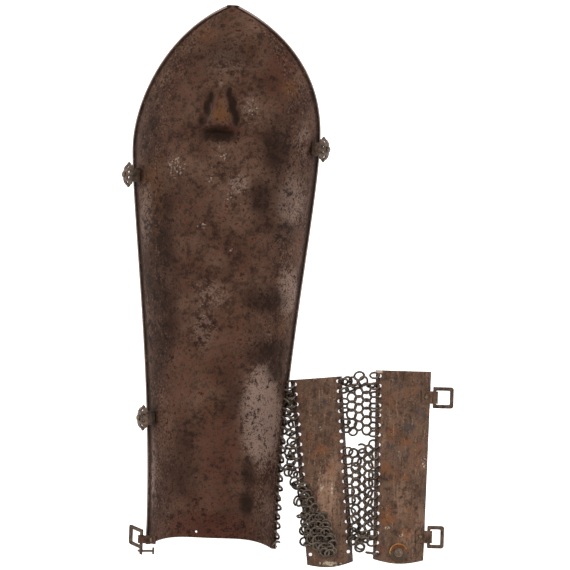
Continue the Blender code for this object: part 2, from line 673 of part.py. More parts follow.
def make_mail():
    inner = wrist_place(INNER_PLACE, INNER_TURN)
    outer = wrist_place(OUTER_PLACE, OUTER_TURN)
    inner_sizes = (INNER_LENGTH, INNER_LOW_WIDTH, INNER_TOP_WIDTH)
    outer_sizes = (OUTER_LENGTH, OUTER_LOW_WIDTH, OUTER_TOP_WIDTH)
    clear = Vector((GAP, 0, 0))
    for name, low, high in (("mail_outer_upper", *UPPER_PATCH), ("mail_outer_lower", *LOWER_PATCH)):
        lows = [blend(low, high, k / BAND_ROWS) for k in range(BAND_ROWS + 1)]
        left = [wrist_edge(inner, 1, at, *inner_sizes) + clear for at in lows]
        right = [wrist_edge(outer, -1, at, *outer_sizes) - clear for at in lows]
        make_band(name, left, right, MAIL_LIFT, MAIL_THICKNESS)

    def rim_point(y, beyond):
        return Vector((half_width(PLATE_LENGTH - y) + RIM + beyond, y, 0))

    lows = [blend(*JOINED_PATCH, k / BAND_ROWS) for k in range(BAND_ROWS + 1)]
    right = [wrist_edge(inner, -1, low, *inner_sizes) - clear for low in lows]
    left = [rim_point(point.y, GAP) for point in right]
    make_band("mail_inner_joined", left, right, MAIL_LIFT, MAIL_THICKNESS)
    ys = [EDGE_ROW_LENGTH * k / BAND_ROWS for k in range(BAND_ROWS + 1)]
    left, right = ([rim_point(y, beyond) for y in ys] for beyond in (GAP, GAP + EDGE_ROW_WIDTH))
    make_band("mail_edge_row", left, right, MAIL_LIFT, EDGE_ROW_HEIGHT)
    sections = []
    for k in range(BAND_ROWS + 1):
        share = k / BAND_ROWS
        low = HEAP_START + HEAP_LENGTH * share
        width = blend(INNER_LOW_WIDTH, INNER_TOP_WIDTH, low / INNER_LENGTH)
        first = GAP - width / 2
        span = blend(HEAP_LOW_WIDTH, HEAP_TOP_WIDTH, share)
        rise = HEAP_THICKNESS * blend(HEAP_END_SHARE, 1.0, math.sin(math.pi * min(share + 0.15, 1.0)))
        under = [(x, arch(2 * x / width, width) + 2 * GAP) for x in (first, first + span / 2, first + span)]
        over = [(x, z + rise * part) for (x, z), part in zip(reversed(under), (0.6, 1.0, 0.6))]
        sections.append([inner @ Vector((x, low, z)) for x, z in under + over])
    add_piece("mail_inner_heap", loft(sections), LINK_IRON)


def settle_on_origin():
    """Hangs the part from one empty, so that the middle of its footprint is the world origin."""
    bpy.context.view_layer.update()
    graph = bpy.context.evaluated_depsgraph_get()
    pieces = [piece for piece in bpy.context.scene.objects if piece.type == "MESH"]
    corners = []
    for piece in pieces:
        if piece.hide_render:
            continue
        solid = piece.evaluated_get(graph)
        mesh = solid.to_mesh()
        corners += [solid.matrix_world @ vertex.co for vertex in mesh.vertices]
        solid.to_mesh_clear()
    middle = [(min(c[k] for c in corners) + max(c[k] for c in corners)) / 2 for k in range(2)]
    part_origin = bpy.data.objects.new("part_origin", None)
    bpy.context.scene.collection.objects.link(part_origin)
    for piece in pieces:
        piece.parent = part_origin
    part_origin.location = (-middle[0], -middle[1], -min(c.z for c in corners))


def main():
    for piece in list(bpy.data.objects):
        bpy.data.objects.remove(piece)
    make_main_plate()
    make_fittings()
    make_wrist_plates()
    upper = OUTER_LENGTH - UPPER_BUCKLE_DOWN
    make_wrist_buckle("upper_buckle", upper, UPPER_FRAME_WIDTH, UPPER_FRAME_REACH)
    make_wrist_buckle("lower_buckle", LOWER_BUCKLE_Y, LOWER_FRAME_WIDTH, LOWER_FRAME_REACH)
    make_main_buckle()
    make_hand_rivet()
    make_mail()
    settle_on_origin()


main()
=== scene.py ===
"""The looks of the iron forearm guard: beaten sheets, riveted mail rings, worn fittings, light and camera.

Sizes are in metres. Places are first worked out as in the CAD source, from the middle of the main plate's
wrist corners, with the point towards +Y. PART_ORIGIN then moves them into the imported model's frame.
"""

import math
import random

import bmesh
import bpy
from mathutils import Matrix, Vector, noise


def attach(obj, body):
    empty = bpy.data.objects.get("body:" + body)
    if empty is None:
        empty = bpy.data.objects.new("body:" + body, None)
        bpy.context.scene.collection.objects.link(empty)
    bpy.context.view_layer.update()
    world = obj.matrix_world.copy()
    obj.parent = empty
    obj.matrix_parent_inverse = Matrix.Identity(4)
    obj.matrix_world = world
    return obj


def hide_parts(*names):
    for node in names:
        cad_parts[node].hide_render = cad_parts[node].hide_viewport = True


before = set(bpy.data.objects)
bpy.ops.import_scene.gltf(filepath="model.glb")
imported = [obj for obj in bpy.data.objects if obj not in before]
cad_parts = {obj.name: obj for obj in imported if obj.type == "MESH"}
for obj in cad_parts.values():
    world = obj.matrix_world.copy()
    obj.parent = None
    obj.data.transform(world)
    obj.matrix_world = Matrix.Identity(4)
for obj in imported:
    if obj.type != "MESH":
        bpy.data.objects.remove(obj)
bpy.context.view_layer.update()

PART_ORIGIN = Vector((-0.043182, -0.168481, 0.000049))

# Main plate, as in the CAD source
PLATE_LENGTH = 0.3457
ELBOW_WIDTH = 0.1205
WRIST_WIDTH = 0.0842
HEAD_LENGTH = 0.0922
TIP_WIDTH = 0.0056
HEAD_FULLNESS = 0.0012
HEAD_LEAN = 0.0027
SIDE_TAPER = 1.34
SIDE_HOLLOW = 2.2
PLATE_SHEET = 0.0012
RIM = 0.0016
WALL_ANGLE = math.radians(76)
TIP_ANGLE = math.radians(30)
TIP_RISE = 0.026
WRIST_CUT = 0.0074
WRIST_LIP = 0.0016
LIP_LENGTH = 0.009
HEAD_ROWS = 92
SIDE_ROWS = 160
PLATE_COLUMNS = 128
FOOT_INSET = 0.0006  # of the groove where the wall turns out into the edge, and how wide it is; the groove is painted dark as shade
FOOT_REACH = 0.0017
RIM_STEPS = ((0.0005, 0.0), (0.0011, 0.00005), (0.0016, -0.0003))  # outwards and up, along its rounded edge

# Elbow boss
BOSS_X = -0.0043
BOSS_DOWN = 0.048
BOSS_LENGTH = 0.0285
BOSS_TOP_WIDTH = 0.0075
BOSS_LOW_WIDTH = 0.0240
BOSS_HEIGHT = 0.0105
BOSS_DROP = 0.0042

# How the hammer left the sheets
DENT_SPAN = 0.034
DENT_DEPTH = 0.00045
HAMMER_SPAN = 0.0075
HAMMER_DEPTH = 0.00012

# Wrist plates
WRIST_SHEET = 0.0011
WRIST_ARCH = 0.0050
INNER_FRAME = Matrix.Translation((0.0770, -0.0077, 0)) @ Matrix.Rotation(math.radians(6.5), 4, "Z")
INNER_SIZES = (0.1194, 0.0297, 0.0331)  # length, width at the lower end and width at the top
INNER_HOLES = (18, 0.0066, 0.0030)  # how many along an edge, and how far the outermost lie from the ends
OUTER_FRAME = Matrix.Translation((0.1206, -0.0039, 0)) @ Matrix.Rotation(math.radians(0.5), 4, "Z")
OUTER_SIZES = (0.1216, 0.0325, 0.0357)
OUTER_HOLES = (19, 0.0043, 0.0037)
WRIST_HOLE_INSET = 0.0027
RING_SHADOW_REACH = 0.0052  # how far in from the edge the painted shadow of the mail's rings reaches
RING_SHADOW_FADE = 0.0030
LOW_BOW = 0.0022
LOW_LIP = 0.0010
WRIST_ROWS = 130
WRIST_COLUMNS = 40

# Holes and rivets
LINK_HOLE = 0.0011
LINK_PITCH = 0.0061
EDGE_HOLES = 17
HOLE_UP_WALL = 0.0042
FIRST_HOLE_Y = 0.0027
SMALL_HOLE_X = -0.0094
SMALL_HOLE_Y = 0.0108
SMALL_HOLE = 0.0007  # what rust leaves open of the hole by the wrist
HOLE_SIDES = 14
RIVET_SHANK = 0.0010
PLATE_RIVET = (0.0021, 0.0012, 0.0018, 0.0007)  # head's radius and height, tail's radius and height
RIVET_BORE = RIVET_SHANK + 0.0003
RIVET_SIDES = 24
GAP = 0.0004

# Strap fittings
COLLAR_LENGTH = 0.0056
ROSETTE_RADIUS = 0.0084
ROSETTE_NOTCH = 0.0013
ROSETTE_DOME = 0.0032
ROSETTE_SHEET = 0.0009
ROSETTE_LOBES = 8
ROSETTE_RINGS = 12
PETAL_SWELL = 0.0003
FITTING_HEIGHT = 0.0100
FITTINGS = {  # how far each lies up the plate, and its side: -1 is the left
    "upper_left": (PLATE_LENGTH - 0.1088, -1),
    "upper_right": (PLATE_LENGTH - 0.0880, 1),
    "middle_left": (0.0815, -1),
}

# Buckles
CLIP_SHEET = 0.0006
UPPER_BUCKLE_Y = OUTER_SIZES[0] - 0.0166
LOWER_BUCKLE_Y = 0.0153
CLIP_RIVET_INSET = 0.0031
CLIP_RIVET = (0.0014, 0.0009, 0.0013, 0.0004)
MAIN_HINGE_Y = 0.0034
MAIN_RIVET_HEIGHT = 0.0104

# Washer and rivet by the hand end of the outer wrist plate
HAND_Y = 0.0051
HAND_WASHER_RADIUS = 0.0058
HAND_WASHER_RISE = 0.0013
HAND_WASHER_SHEET = 0.0008
HAND_RIVET = (0.0029, 0.0020, 0.0018, 0.0007)

# Mail rings
RING_RADIUS = 0.00292
WIRE_RADIUS = 0.00074
LAP_SIZE = 0.00102  # the flattened lap where a ring is riveted shut
RING_STEPS = 18
WIRE_SIDES = 6
TORN_SWEEP = math.radians(285)  # what is left of a torn ring's circle
WIDE_RING = 1.07  # rings that lean to the right are a little larger
SHAKE_DEGREES = 7
SHAKE_REACH = 0.0003
MAIL_HEIGHT = 0.0021  # of the rings' middles between the plates
LOOSE_HEIGHT = 0.0022  # of the rings beside the heap
EDGE_RING_HEIGHT = 0.0025
EDGE_RING_REACH = 0.0034  # from a wrist plate's hole out to the ring's middle
RIM_RING_REACH = Vector((0.0013, 0.0006, -0.0022))  # from the main plate's hole to the ring's middle
RIM_RING_SIZE = 1.12
RIM_RING_LEAN = 56  # degrees, like its turn
RIM_RING_TURN = -32
STAGGER = 0.0004  # how far rings in a row lie by turns up and down the plate
HEAP_LIFTS = (0.0012, 0.0034)  # the heap's two layers, over the plate
HEAP_END_LIFT = 0.0024
HEAP_SHIFT = 0.0016  # of its upper layer, down and to the right
HEAP_TILT = 26  # degrees about X, and to either side about Y
HEAP_LEAN = 22
HEAP_ROWS = (  # pixels of the photograph: how far down, and the first and last ring's middle
    (487, 300, 303), (494, 302, 307), (501, 305, 311), (508, 307, 314), (516, 305, 323),
    (523, 305, 327), (530, 306, 328), (537, 309, 331), (544, 315, 332), (550, 322, 331),
)
HEAP_STEP = 5.6  # pixels between two rings of a row

# The photograph's frame: metres a pixel on the floor, and how far the picture is turned
PHOTO_PIXELS = 570
PHOTO_SCALE = 0.0006434
PHOTO_TURN = math.radians(2.17)
PHOTO_CENTRE = (-0.00195, 0.00149)
CAMERA_HEIGHT = 3.4
SENSOR = 36.0

# Softboxes: name, place, size and power
SOFTBOXES = (
    ("left_softbox", (-1.35, 0.1, 1.3), 1.2, 25.5),
    ("right_softbox", (1.35, -0.1, 1.3), 1.2, 24.5),
    ("point_softbox", (-0.1, 1.5, 1.35), 1.1, 12.0),
)
WORLD_LIGHT = 0.3
TABLE_GLOW = 0.9  # the white table is lit from below, so that it shows no shadow and every hole is white

# Where the main plate's finish changes, with painted shade and a painted highlight among the patches: x, y,
# reach across, reach along (mm) and strength of each patch
PLATE_ZONES = {
    "dark_rust": (
        (33, 257, 11, 19, 0.9), (24, 225, 9, 14, 0.85), (40, 203, 8, 10, 0.8), (29, 160, 14, 9, 1),
        (32, 127, 17, 11, 0.85), (48, 122, 6, 24, 0.7), (-42, 193, 13, 46, 0.8), (36, 236, 12, 34, 0.45),
        # From (-4, 263.5) to (6.2, 275): painted shade under the elbow boss's nose and along its flanks,
        # over dark patina
        (-38, 142, 13, 40, 0.7), (-4, 263.5, 12.5, 5.4, 1.15), (-10.2, 287, 1.8, 5, 1.3),
        (-12.4, 280, 2.4, 6, 1.5), (-15, 273, 3, 4, 1.0), (1.2, 290, 2, 5.5, 1.4), (3.6, 283, 2.6, 7, 1.8),
        (6.2, 275, 2.4, 6, 1.6), (-23, 49, 15, 24, 0.35), (0, 14, 46, 17, 0.4), (22, 50, 5, 12, 0.95),
        (22, 29, 5, 8, 1.0), (19, 14, 7, 6, 0.7), (37, 116, 7, 12, 0.9), (42, 103, 5, 9, 0.7),
        (25, 83, 10, 15, 0.45), (10, 99, 11, 16, 0.3), (-47, 280, 7, 22, 0.5), (-49, 260, 7, 24, 0.6),
        (48, 7, 7, 12, 0.6), (-8, 27, 12, 11, 0.3), (0, 317, 24, 11, 0.35),
    ),
    "bare_grey": (
        (43, 223, 11, 22, 0.8), (44, 166, 9, 20, 0.8), (30, 87, 15, 38, 1.25), (-5, 162, 13, 11, 0.45),
        (-49, 209, 6, 30, 0.8), (10, 233, 9, 9, 0.6), (2, 240, 18, 20, 0.2), (-9, 140, 11, 17, 0.4),
        (32, 24, 10, 22, 0.35), (-33, 16, 11, 22, 0.2), (15, 280, 9, 13, 0.35), (-43, 42, 7, 36, 0.9),
        # (-5, 297) is a painted highlight on the elbow boss's knuckle
        (0, 312, 16, 14, 0.4), (-5, 297, 3.5, 3, 0.5), (50, 262, 6, 14, 0.6), (38, 66, 8, 24, 0.5),
    ),
    "red_rust": (
        (7, 127, 24, 40, 0.6), (4, 63, 22, 40, 0.75), (-22, 213, 18, 28, 0.5), (33, 304, 13, 22, 0.8),
        (55, 258, 6, 19, 0.8), (11, 192, 22, 23, 0.5), (-24, 107, 16, 40, 0.6), (-28, 300, 14, 24, 0.5),
        (-16, 313, 18, 17, 0.35), (4, 268, 7, 3, 1.0), (50, 193, 6, 40, 0.5), (0, 12, 42, 18, 1.0),
        (0, 30, 34, 14, 0.7),
    ),
    "warm_rust": (
        (-3, 277, 8, 7, 1.0), (-4, 286, 4, 8, 0.7), (40, 295, 7, 7, 0.9), (-15, 327, 9, 7, 0.7),
        (14, 318, 9, 9, 0.5), (-16, 120, 14, 20, 0.4), (-46, 215, 12, 42, 0.8), (44, 140, 12, 60, 0.5),
        (12, 150, 16, 16, 0.4), (-3, 95, 16, 30, 0.35),
    ),
    "pale_specks": (
        (-31, 243, 9, 10, 1), (-3, 233, 19, 25, 0.55), (-10, 159, 12, 27, 0.6), (15, 282, 8, 10, 0.85),
        (-2, 257, 14, 5, 0.7), (-3, 95, 16, 46, 0.35), (7, 303, 17, 10, 0.3), (8, 226, 12, 12, 0.7),
        (-8.6, 234, 5, 5, 1), (-2.5, 250, 5, 5, 1), (3.5, 224, 5, 6, 0.9), (-13, 206, 5, 5, 0.9),
        (7, 191, 5, 5, 0.8),
    ),
}

# Where the wrist plates' finish changes: x and y in the photograph, reach across, reach along and strength
WRIST_ZONES = {
    "orange_rust": (
        (392, 434, 8, 9, 1), (404, 440, 7, 6, 0.9), (386, 471, 7, 9, 0.9), (396, 476, 7, 7, 0.9),
        (387, 515, 9, 15, 1), (406, 533, 8, 7, 0.8), (384, 400, 7, 14, 0.6), (412, 395, 9, 12, 0.5),
        (321, 452, 12, 12, 0.9), (309, 440, 8, 10, 0.8), (333, 440, 8, 9, 0.6), (302, 400, 7, 12, 0.5),
        (412, 510, 9, 16, 0.5), (331, 470, 8, 10, 0.5), (418, 455, 7, 16, 0.5), (404, 478, 7, 6, 0.9),
        (378, 545, 8, 8, 0.8), (395, 405, 9, 6, 0.6), (410, 378, 12, 5, 0.6), (340, 455, 5, 9, 0.6),
    ),
    "blue_grey": (
        (398, 382, 11, 9, 0.9), (408, 427, 9, 8, 1), (390, 446, 8, 6, 0.9), (426, 494, 6, 24, 1),
        (420, 415, 9, 14, 0.7), (402, 455, 9, 8, 0.7), (394, 500, 7, 12, 0.6), (318, 405, 16, 12, 0.7),
        (320, 428, 12, 8, 0.6), (335, 415, 6, 18, 0.6), (340, 500, 6, 22, 0.4), (316, 388, 18, 6, 0.6),
        (325, 480, 10, 10, 0.5), (386, 541, 9, 14, 0.6),
    ),
    "worn_brown": (
        (327, 500, 14, 40, 0.9), (336, 468, 10, 24, 0.6), (402, 500, 12, 26, 0.6), (410, 540, 14, 14, 0.6),
        (388, 430, 8, 40, 0.3), (420, 520, 8, 26, 0.5),
    ),
    "pale_specks": (
        # (331, 563.5), (401, 535) and (379.5, 371.5) are painted highlights: the flared lip, a dent and a
        # corner
        (320, 428, 3, 4, 0.7), (322, 487, 3, 5, 0.8), (332, 489, 2.5, 9, 0.9), (331, 563.5, 16, 3.2, 1.15),
        (424, 462, 3, 9, 0.9), (387, 528, 4, 3, 1), (380, 410, 3, 6, 0.9), (401, 535, 4, 4, 0.8),
        (379.5, 371.5, 5, 2, 1.9), (315, 470, 16, 40, 0.35), (400, 480, 20, 60, 0.3),
    ),
}


def smooth(share):
    share = min(max(share, 0.0), 1.0)
    return share * share * (3 - 2 * share)


def blend(first, last, share):
    return first + (last - first) * share


def linear(code):
    """The linear colour of an sRGB hex code."""
    parts = [int(code[k:k + 2], 16) / 255 for k in (1, 3, 5)]
    return (*[c / 12.92 if c <= 0.04045 else ((c + 0.055) / 1.055) ** 2.4 for c in parts], 1.0)


def add_node(tree, kind, inputs=None, settings=None):
    """Adds a node. Inputs are values or the sockets that feed it, settings are its own properties."""
    node = tree.nodes.new(kind)
    for name, value in (settings or {}).items():
        if name == "stops":
            ramp = node.color_ramp
            while len(ramp.elements) < len(value):
                ramp.elements.new(1.0)
            for element, (position, colour) in zip(ramp.elements, value):
                element.position = position
                element.color = linear(colour)
        else:
            setattr(node, name, value)
    for key, value in (inputs or {}).items():
        socket = next(item for item in node.inputs if key in (item.identifier, item.name))
        if isinstance(value, bpy.types.NodeSocket):
            tree.links.new(value, socket)
        else:
            socket.default_value = value
    return node


def seen(x, y, height=0.0):
    """The place, in the part's own frame, of what the photograph shows at a pixel, at a height."""
    nearer = PHOTO_SCALE * (CAMERA_HEIGHT - height) / CAMERA_HEIGHT
    from_middle = Vector((x - PHOTO_PIXELS / 2, PHOTO_PIXELS / 2 - y, 0)) * nearer
    place = Matrix.Rotation(PHOTO_TURN, 3, "Z") @ from_middle
    return place + Vector((*PHOTO_CENTRE, height)) - Vector((PART_ORIGIN.x, PART_ORIGIN.y, 0))


# Shape of the main plate

def half_width(down):
    """Half the plate's width between its walls' outer faces, at a distance down from the point."""
    elbow, wrist = ELBOW_WIDTH / 2 - RIM, WRIST_WIDTH / 2 - RIM
    if down < HEAD_LENGTH:
        radius = (HEAD_LENGTH**2 + elbow**2) / (2 * elbow)
        arc = elbow - radius + math.sqrt(radius**2 - (HEAD_LENGTH - down) ** 2)
        share = down / HEAD_LENGTH
        return arc + TIP_WIDTH / 2 * (1 - share) ** 2 + HEAD_FULLNESS * math.sin(math.pi * share)
    share = (down - HEAD_LENGTH) / (PLATE_LENGTH - HEAD_LENGTH)
    return blend(wrist, elbow, (1 - share**SIDE_TAPER) ** SIDE_HOLLOW)


def lean(down):
    """How far the head's middle lies to the right of the plate's axis."""
    share = min((down / HEAD_LENGTH + 0.25) / 1.25, 1.0)
    return HEAD_LEAN * math.sin(math.pi * share) ** 1.5


def section(down):
    """The section there: its radius, its half angle and the height of its edge."""
    head = max(1 - down / HEAD_LENGTH, 0.0)
    angle = blend(WALL_ANGLE, TIP_ANGLE, head**1.2)
    return half_width(down) / math.sin(angle), angle, PLATE_SHEET + TIP_RISE * smooth(head)


def boss(x, down):
    """How far the elbow boss lifts the sheet."""
    along = (down - BOSS_DOWN) / BOSS_LENGTH
    past = (down - BOSS_DOWN - BOSS_LENGTH) / BOSS_DROP
    if along <= 0 or past >= 1:
        return 0.0
    half = blend(BOSS_TOP_WIDTH, BOSS_LOW_WIDTH, min(along, 1.0) ** 1.4) / 2
    across = min(abs(x - BOSS_X) / half, 1.0)
    rise = BOSS_HEIGHT * math.sin(math.pi / 2 * min(along, 1.0)) ** 1.4
    return rise * (1 - max(past, 0.0)) * (1 - across**2)


def beaten(point):
    """How far the hammer left the sheet from its true surface there."""
    slow = noise.noise(point / DENT_SPAN + Vector((3.1, 7.7, 1.3)))
    quick = noise.noise(point / HAMMER_SPAN + Vector((11.5, 2.9, 5.2)))
    return DENT_DEPTH * slow + HAMMER_DEPTH * quick


def plate_point(down, share):
    """A point of the outer surface: share runs from -1 at the left edge to 1 at the right one."""
    radius, angle, edge = section(down)
    turn = share * angle
    across = radius * math.sin(turn)
    x = lean(down) + across
    cut_share = smooth((down / PLATE_LENGTH - 0.6) / 0.4)
    y = PLATE_LENGTH - down + WRIST_CUT * cut_share * (1 - (across / half_width(down)) ** 4)
    lip = WRIST_LIP * max(1 - (PLATE_LENGTH - down) / LIP_LENGTH, 0.0) ** 2
    z = edge + radius * (math.cos(turn) - math.cos(angle)) + lip * (1 - share**2) ** 2 + boss(x, down)
    point = Vector((x, y, z))
    out = Vector((math.sin(turn), 0, math.cos(turn)))
    return point + out * beaten(point) * (1 - share**4) ** 2


def wall_place(y, up, side):
    """A point on the main plate's wall, at a height up, and the way out from it. Side is -1 on the left."""
    radius, angle, edge = section(PLATE_LENGTH - y)
    turn = math.acos((up - edge) / radius + math.cos(angle))
    out = Vector((side * math.sin(turn), 0, math.cos(turn)))
    return Vector((lean(PLATE_LENGTH - y) + side * radius * math.sin(turn), y, up)), out


def facing(point, out):
    """The matrix that puts a piece at a point of the wall, its Z pointing out and its Y along the arm."""
    across = Vector((0, 1, 0)).cross(out)
    turn = Matrix((across, (0, 1, 0), out)).transposed().to_4x4()
    return Matrix.Translation(point) @ turn


# Making pieces

def add_object(name, data):
    made = bpy.data.objects.new(name, data)
    bpy.context.scene.collection.objects.link(made)
    return made


def add_piece(name, builder, finish, place=None):
    """Turns a bmesh, given in the frame of place, into an object whose place is in its mesh."""
    if place is not None:
        builder.transform(place)
    builder.transform(Matrix.Translation(PART_ORIGIN))
    mesh = bpy.data.meshes.new(name)
    builder.to_mesh(mesh)
    builder.free()
    mesh.materials.append(finish)
    return add_object(name, mesh)


def settle(piece, sharp=40):
    """Makes the piece's modifiers part of its mesh, and shades it smooth up to an angle in degrees."""
    bpy.context.view_layer.update()
    graph = bpy.context.evaluated_depsgraph_get()
    made = bpy.data.meshes.new_from_object(piece.evaluated_get(graph))
    made.name = piece.name
    piece.modifiers.clear()
    piece.data = made
    made.shade_smooth()
    made.set_sharp_from_angle(angle=math.radians(sharp))


def belongs(piece, body, slot, *nodes):
    """The piece moves with the body and stands for the CAD nodes. The slot is not used."""
    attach(piece, body)
    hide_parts(*nodes)


def thicken(piece, sheet):
    wall = piece.modifiers.new("sheet", "SOLIDIFY")
    wall.thickness = sheet
    wall.offset = -1
    wall.use_even_offset = True


def soften(piece, width, segments=2):
    """Rounds the piece's sharp edges."""
    worn = piece.modifiers.new("worn edges", "BEVEL")
    worn.width = width
    worn.segments = segments
    worn.limit_method = "ANGLE"
    worn.angle_limit = math.radians(35)


def drill(piece, rods, place=None):
    """Cuts rods, given as (centre, axis, radius, length), out of the piece."""
    builder = bmesh.new()
    for centre, axis, radius, length in rods:
        turn = Vector(axis).to_track_quat("Z", "Y").to_matrix().to_4x4()
        bmesh.ops.create_cone(
            builder, cap_ends=True, segments=HOLE_SIDES, radius1=radius, radius2=radius, depth=length,
            matrix=Matrix.Translation(centre) @ turn,
        )
    cutter = add_piece(piece.name + "_drill", builder, piece.data.materials[0], place)
    holes = piece.modifiers.new("holes", "BOOLEAN")
    holes.operation = "DIFFERENCE"
    holes.solver = "MANIFOLD"
    holes.object = cutter
    settle(piece)
    bpy.data.objects.remove(cutter)


def lathe(profile, sides, closed=False):
    """A turned solid of (radius, height) points, which run from axis to axis, or round a ring if closed."""
    turned = bmesh.new()
    rings = []
    for radius, height in profile:
        if radius == 0:
            rings.append([turned.verts.new((0, 0, height))] * sides)
            continue
        angles = [2 * math.pi * k / sides for k in range(sides)]
        spots = [(radius * math.cos(angle), radius * math.sin(angle), height) for angle in angles]
        rings.append([turned.verts.new(spot) for spot in spots])
    pairs = list(zip(rings, rings[1:])) + ([(rings[-1], rings[0])] if closed else [])
    for upper, lower in pairs:
        for k in range(sides):
            corners = [upper[k], upper[(k + 1) % sides], lower[(k + 1) % sides], lower[k]]
            turned.faces.new(list(dict.fromkeys(corners)))
    bmesh.ops.recalc_face_normals(turned, faces=turned.faces)
    return turned


def paint(piece, name, amount):
    """Stores a number at each point of the piece, worked out from its place in the part's own frame."""
    layer = piece.data.attributes.new(name, "FLOAT", "POINT")
    layer.data.foreach_set("value", [amount(vertex.co - PART_ORIGIN) for vertex in piece.data.vertices])


def zone_share(point, patches):
    """How far a point lies inside the patches of one zone, from 0 to the strongest patch's strength."""
    share = 0.0
    for x, y, across, along, strength in patches:
        reach = math.hypot((point.x * 1000 - x) / across, (point.y * 1000 - y) / along)
        share = max(share, strength * smooth(1.35 - reach))
    return share


# Finishes

PATTERNS = ("cloud", "mottle", "grain", "streak", "speck", "pit")
USUAL_TONE = {"mottle": 0.6, "cloud": 0.4}
USUAL_RELIEF = {"mottle": 1.0, "grain": 0.5}


def rusted_iron(name, sizes_mm, tones, surface, layers, relief_mm, tone=USUAL_TONE, relief=USUAL_RELIEF):
    """Iron that rusted and was cleaned again: tones of oxide in clouds, layers over them, then its relief.

    The sizes are those of the patterns. Real grain is finer than a pixel and wouldn't show, so it is drawn
    coarser, at half a millimetre to one. The surface is roughness, metal share and specular level. A layer
    is what it is summed from, where it starts and is full, its strength, colour, roughness and metal share.
    """
    made = bpy.data.materials.new(name)
    made.use_nodes = True
    tree = made.node_tree
    shader = tree.nodes["Principled BSDF"]
    place = add_node(tree, "ShaderNodeTexCoord").outputs["Object"]
    drawn_out = {"Vector": place, "Scale": (1.0, 0.13, 0.6)}
    along = add_node(tree, "ShaderNodeMapping", drawn_out).outputs["Vector"]
    scales = {pattern: 1000 / size for pattern, size in zip(PATTERNS, sizes_mm)}
    sources = {}
    for pattern, vector, detail, roughness in (
        ("cloud", place, 4, 0.55), ("mottle", place, 6, 0.68), ("grain", place, 4, 0.7),
        ("streak", along, 5, 0.65), ("speck", place, 2, 0.5),
    ):
        clouds = {"Vector": vector, "Scale": scales[pattern], "Detail": detail, "Roughness": roughness}
        sources[pattern] = add_node(tree, "ShaderNodeTexNoise", clouds).outputs["Fac"]
    pits = {"Vector": place, "Scale": scales["pit"], "Randomness": 1.0}
    sources["pit"] = add_node(tree, "ShaderNodeTexVoronoi", pits).outputs["Distance"]

    def weighed(weights):
        """The sum of patterns and painted numbers, each times its weight."""
        total = 0.0
        for source, weight in weights.items():
            if source not in sources:
                painted = add_node(tree, "ShaderNodeAttribute", None, {"attribute_name": source})
                sources[source] = painted.outputs["Fac"]
            chain = {"Value": sources[source], "Value_001": weight, "Value_002": total}
            total = add_node(tree, "ShaderNodeMath", chain, {"operation": "MULTIPLY_ADD"}).outputs["Value"]
        return total

    ramp = add_node(tree, "ShaderNodeValToRGB", {"Fac": weighed(tone)}, {"stops": tones})
    colour = ramp.outputs[0]
    rough, metal, gloss = surface
    for weights, low, high, strength, tint, tint_rough, tint_metal in layers:
        step = {"Value": weighed(weights), "From Min": low, "From Max": high, "To Max": strength}
        soft = {"interpolation_type": "SMOOTHSTEP"}
        share = add_node(tree, "ShaderNodeMapRange", step, soft).outputs["Result"]
        over = {"Factor_Float": share, "A_Color": colour, "B_Color": linear(tint)}
        colour = add_node(tree, "ShaderNodeMix", over, {"data_type": "RGBA"}).outputs[2]
        rough, metal = (
            add_node(tree, "ShaderNodeMix", {"Factor_Float": share, "A_Float": a, "B_Float": b}).outputs[0]
            for a, b in ((rough, tint_rough), (metal, tint_metal))
        )
    bumps = {"Strength": 0.8, "Distance": relief_mm / 1000, "Height": weighed(relief)}
    normal = add_node(tree, "ShaderNodeBump", bumps).outputs["Normal"]
    sockets = {"Base Color": colour, "Roughness": rough, "Metallic": metal, "Normal": normal}
    for socket, value in sockets.items():
        tree.links.new(value, shader.inputs[socket])
    shader.inputs["Specular IOR Level"].default_value = gloss
    return made


# Hammered wrought iron: brown oxide in clouds over grey metal, matt in the rust, softly glossy with a
# painted highlight along the turned edge, and painted shade in its groove and under the elbow boss
PLATE_IRON = rusted_iron(
    "hammered_wrought_iron", sizes_mm=(21, 4.2, 1.1, 2.6, 1.5, 2.6), surface=(0.7, 0.03, 0.05),
    tone={"mottle": 0.48, "cloud": 0.3, "grain": 0.22},
    tones=((0.40, "#291913"), (0.465, "#3b281f"), (0.525, "#4e392e"), (0.60, "#664d40")),
    relief_mm=0.16, relief={"mottle": 1.0, "grain": 0.5, "pit": 0.35},
    layers=(
        ({"mottle": 1.0, "grain": 0.4}, 0.74, 0.84, 0.85, "#603523", 0.7, 0.05),
        ({"red_rust": 1.0, "mottle": 2.8, "grain": 1.2, "cloud": 0.8},
         2.75, 3.6, 0.75, "#4a271d", 0.68, 0.05),
        ({"warm_rust": 1.0, "mottle": 2.2, "grain": 1.2}, 1.9, 2.9, 0.75, "#5e3d24", 0.68, 0.05),
        # bare grey metal, with a painted highlight on the boss's knuckle
        ({"bare_grey": 0.9, "mottle": 3.0, "grain": 2.0}, 2.75, 3.5, 0.85, "#806a5f", 0.55, 0.15),
        ({"weathered": 0.7, "speck": -1.8, "streak": 1.8, "grain": 1.0},
         1.25, 1.85, 0.55, "#75594b", 0.55, 0.15),
        ({"weathered": 0.7, "speck": 1.8, "streak": 1.6, "mottle": 1.4},
         3.05, 3.75, 0.85, "#20140f", 0.7, 0.05),
        # dark rust, with painted shade in the edge's groove and under the elbow boss
        ({"dark_rust": 0.8, "mottle": 4.2, "grain": 2.4}, 3.45, 4.2, 0.92, "#1c110c", 0.7, 0.05),
        ({"pale_specks": 1.0, "speck": 3.2}, 2.65, 3.15, 0.75, "#8f8276", 0.5, 0.15),
        ({"pit": -1.0, "mottle": 1.5}, 0.66, 0.84, 0.75, "#19110e", 0.7, 0.1),
        # painted highlight along the turned edge's outer line
        ({"rubbed": 1.0, "grain": 0.5}, 0.8, 1.25, 0.85, "#93877e", 0.5, 0.2),
    ),
)
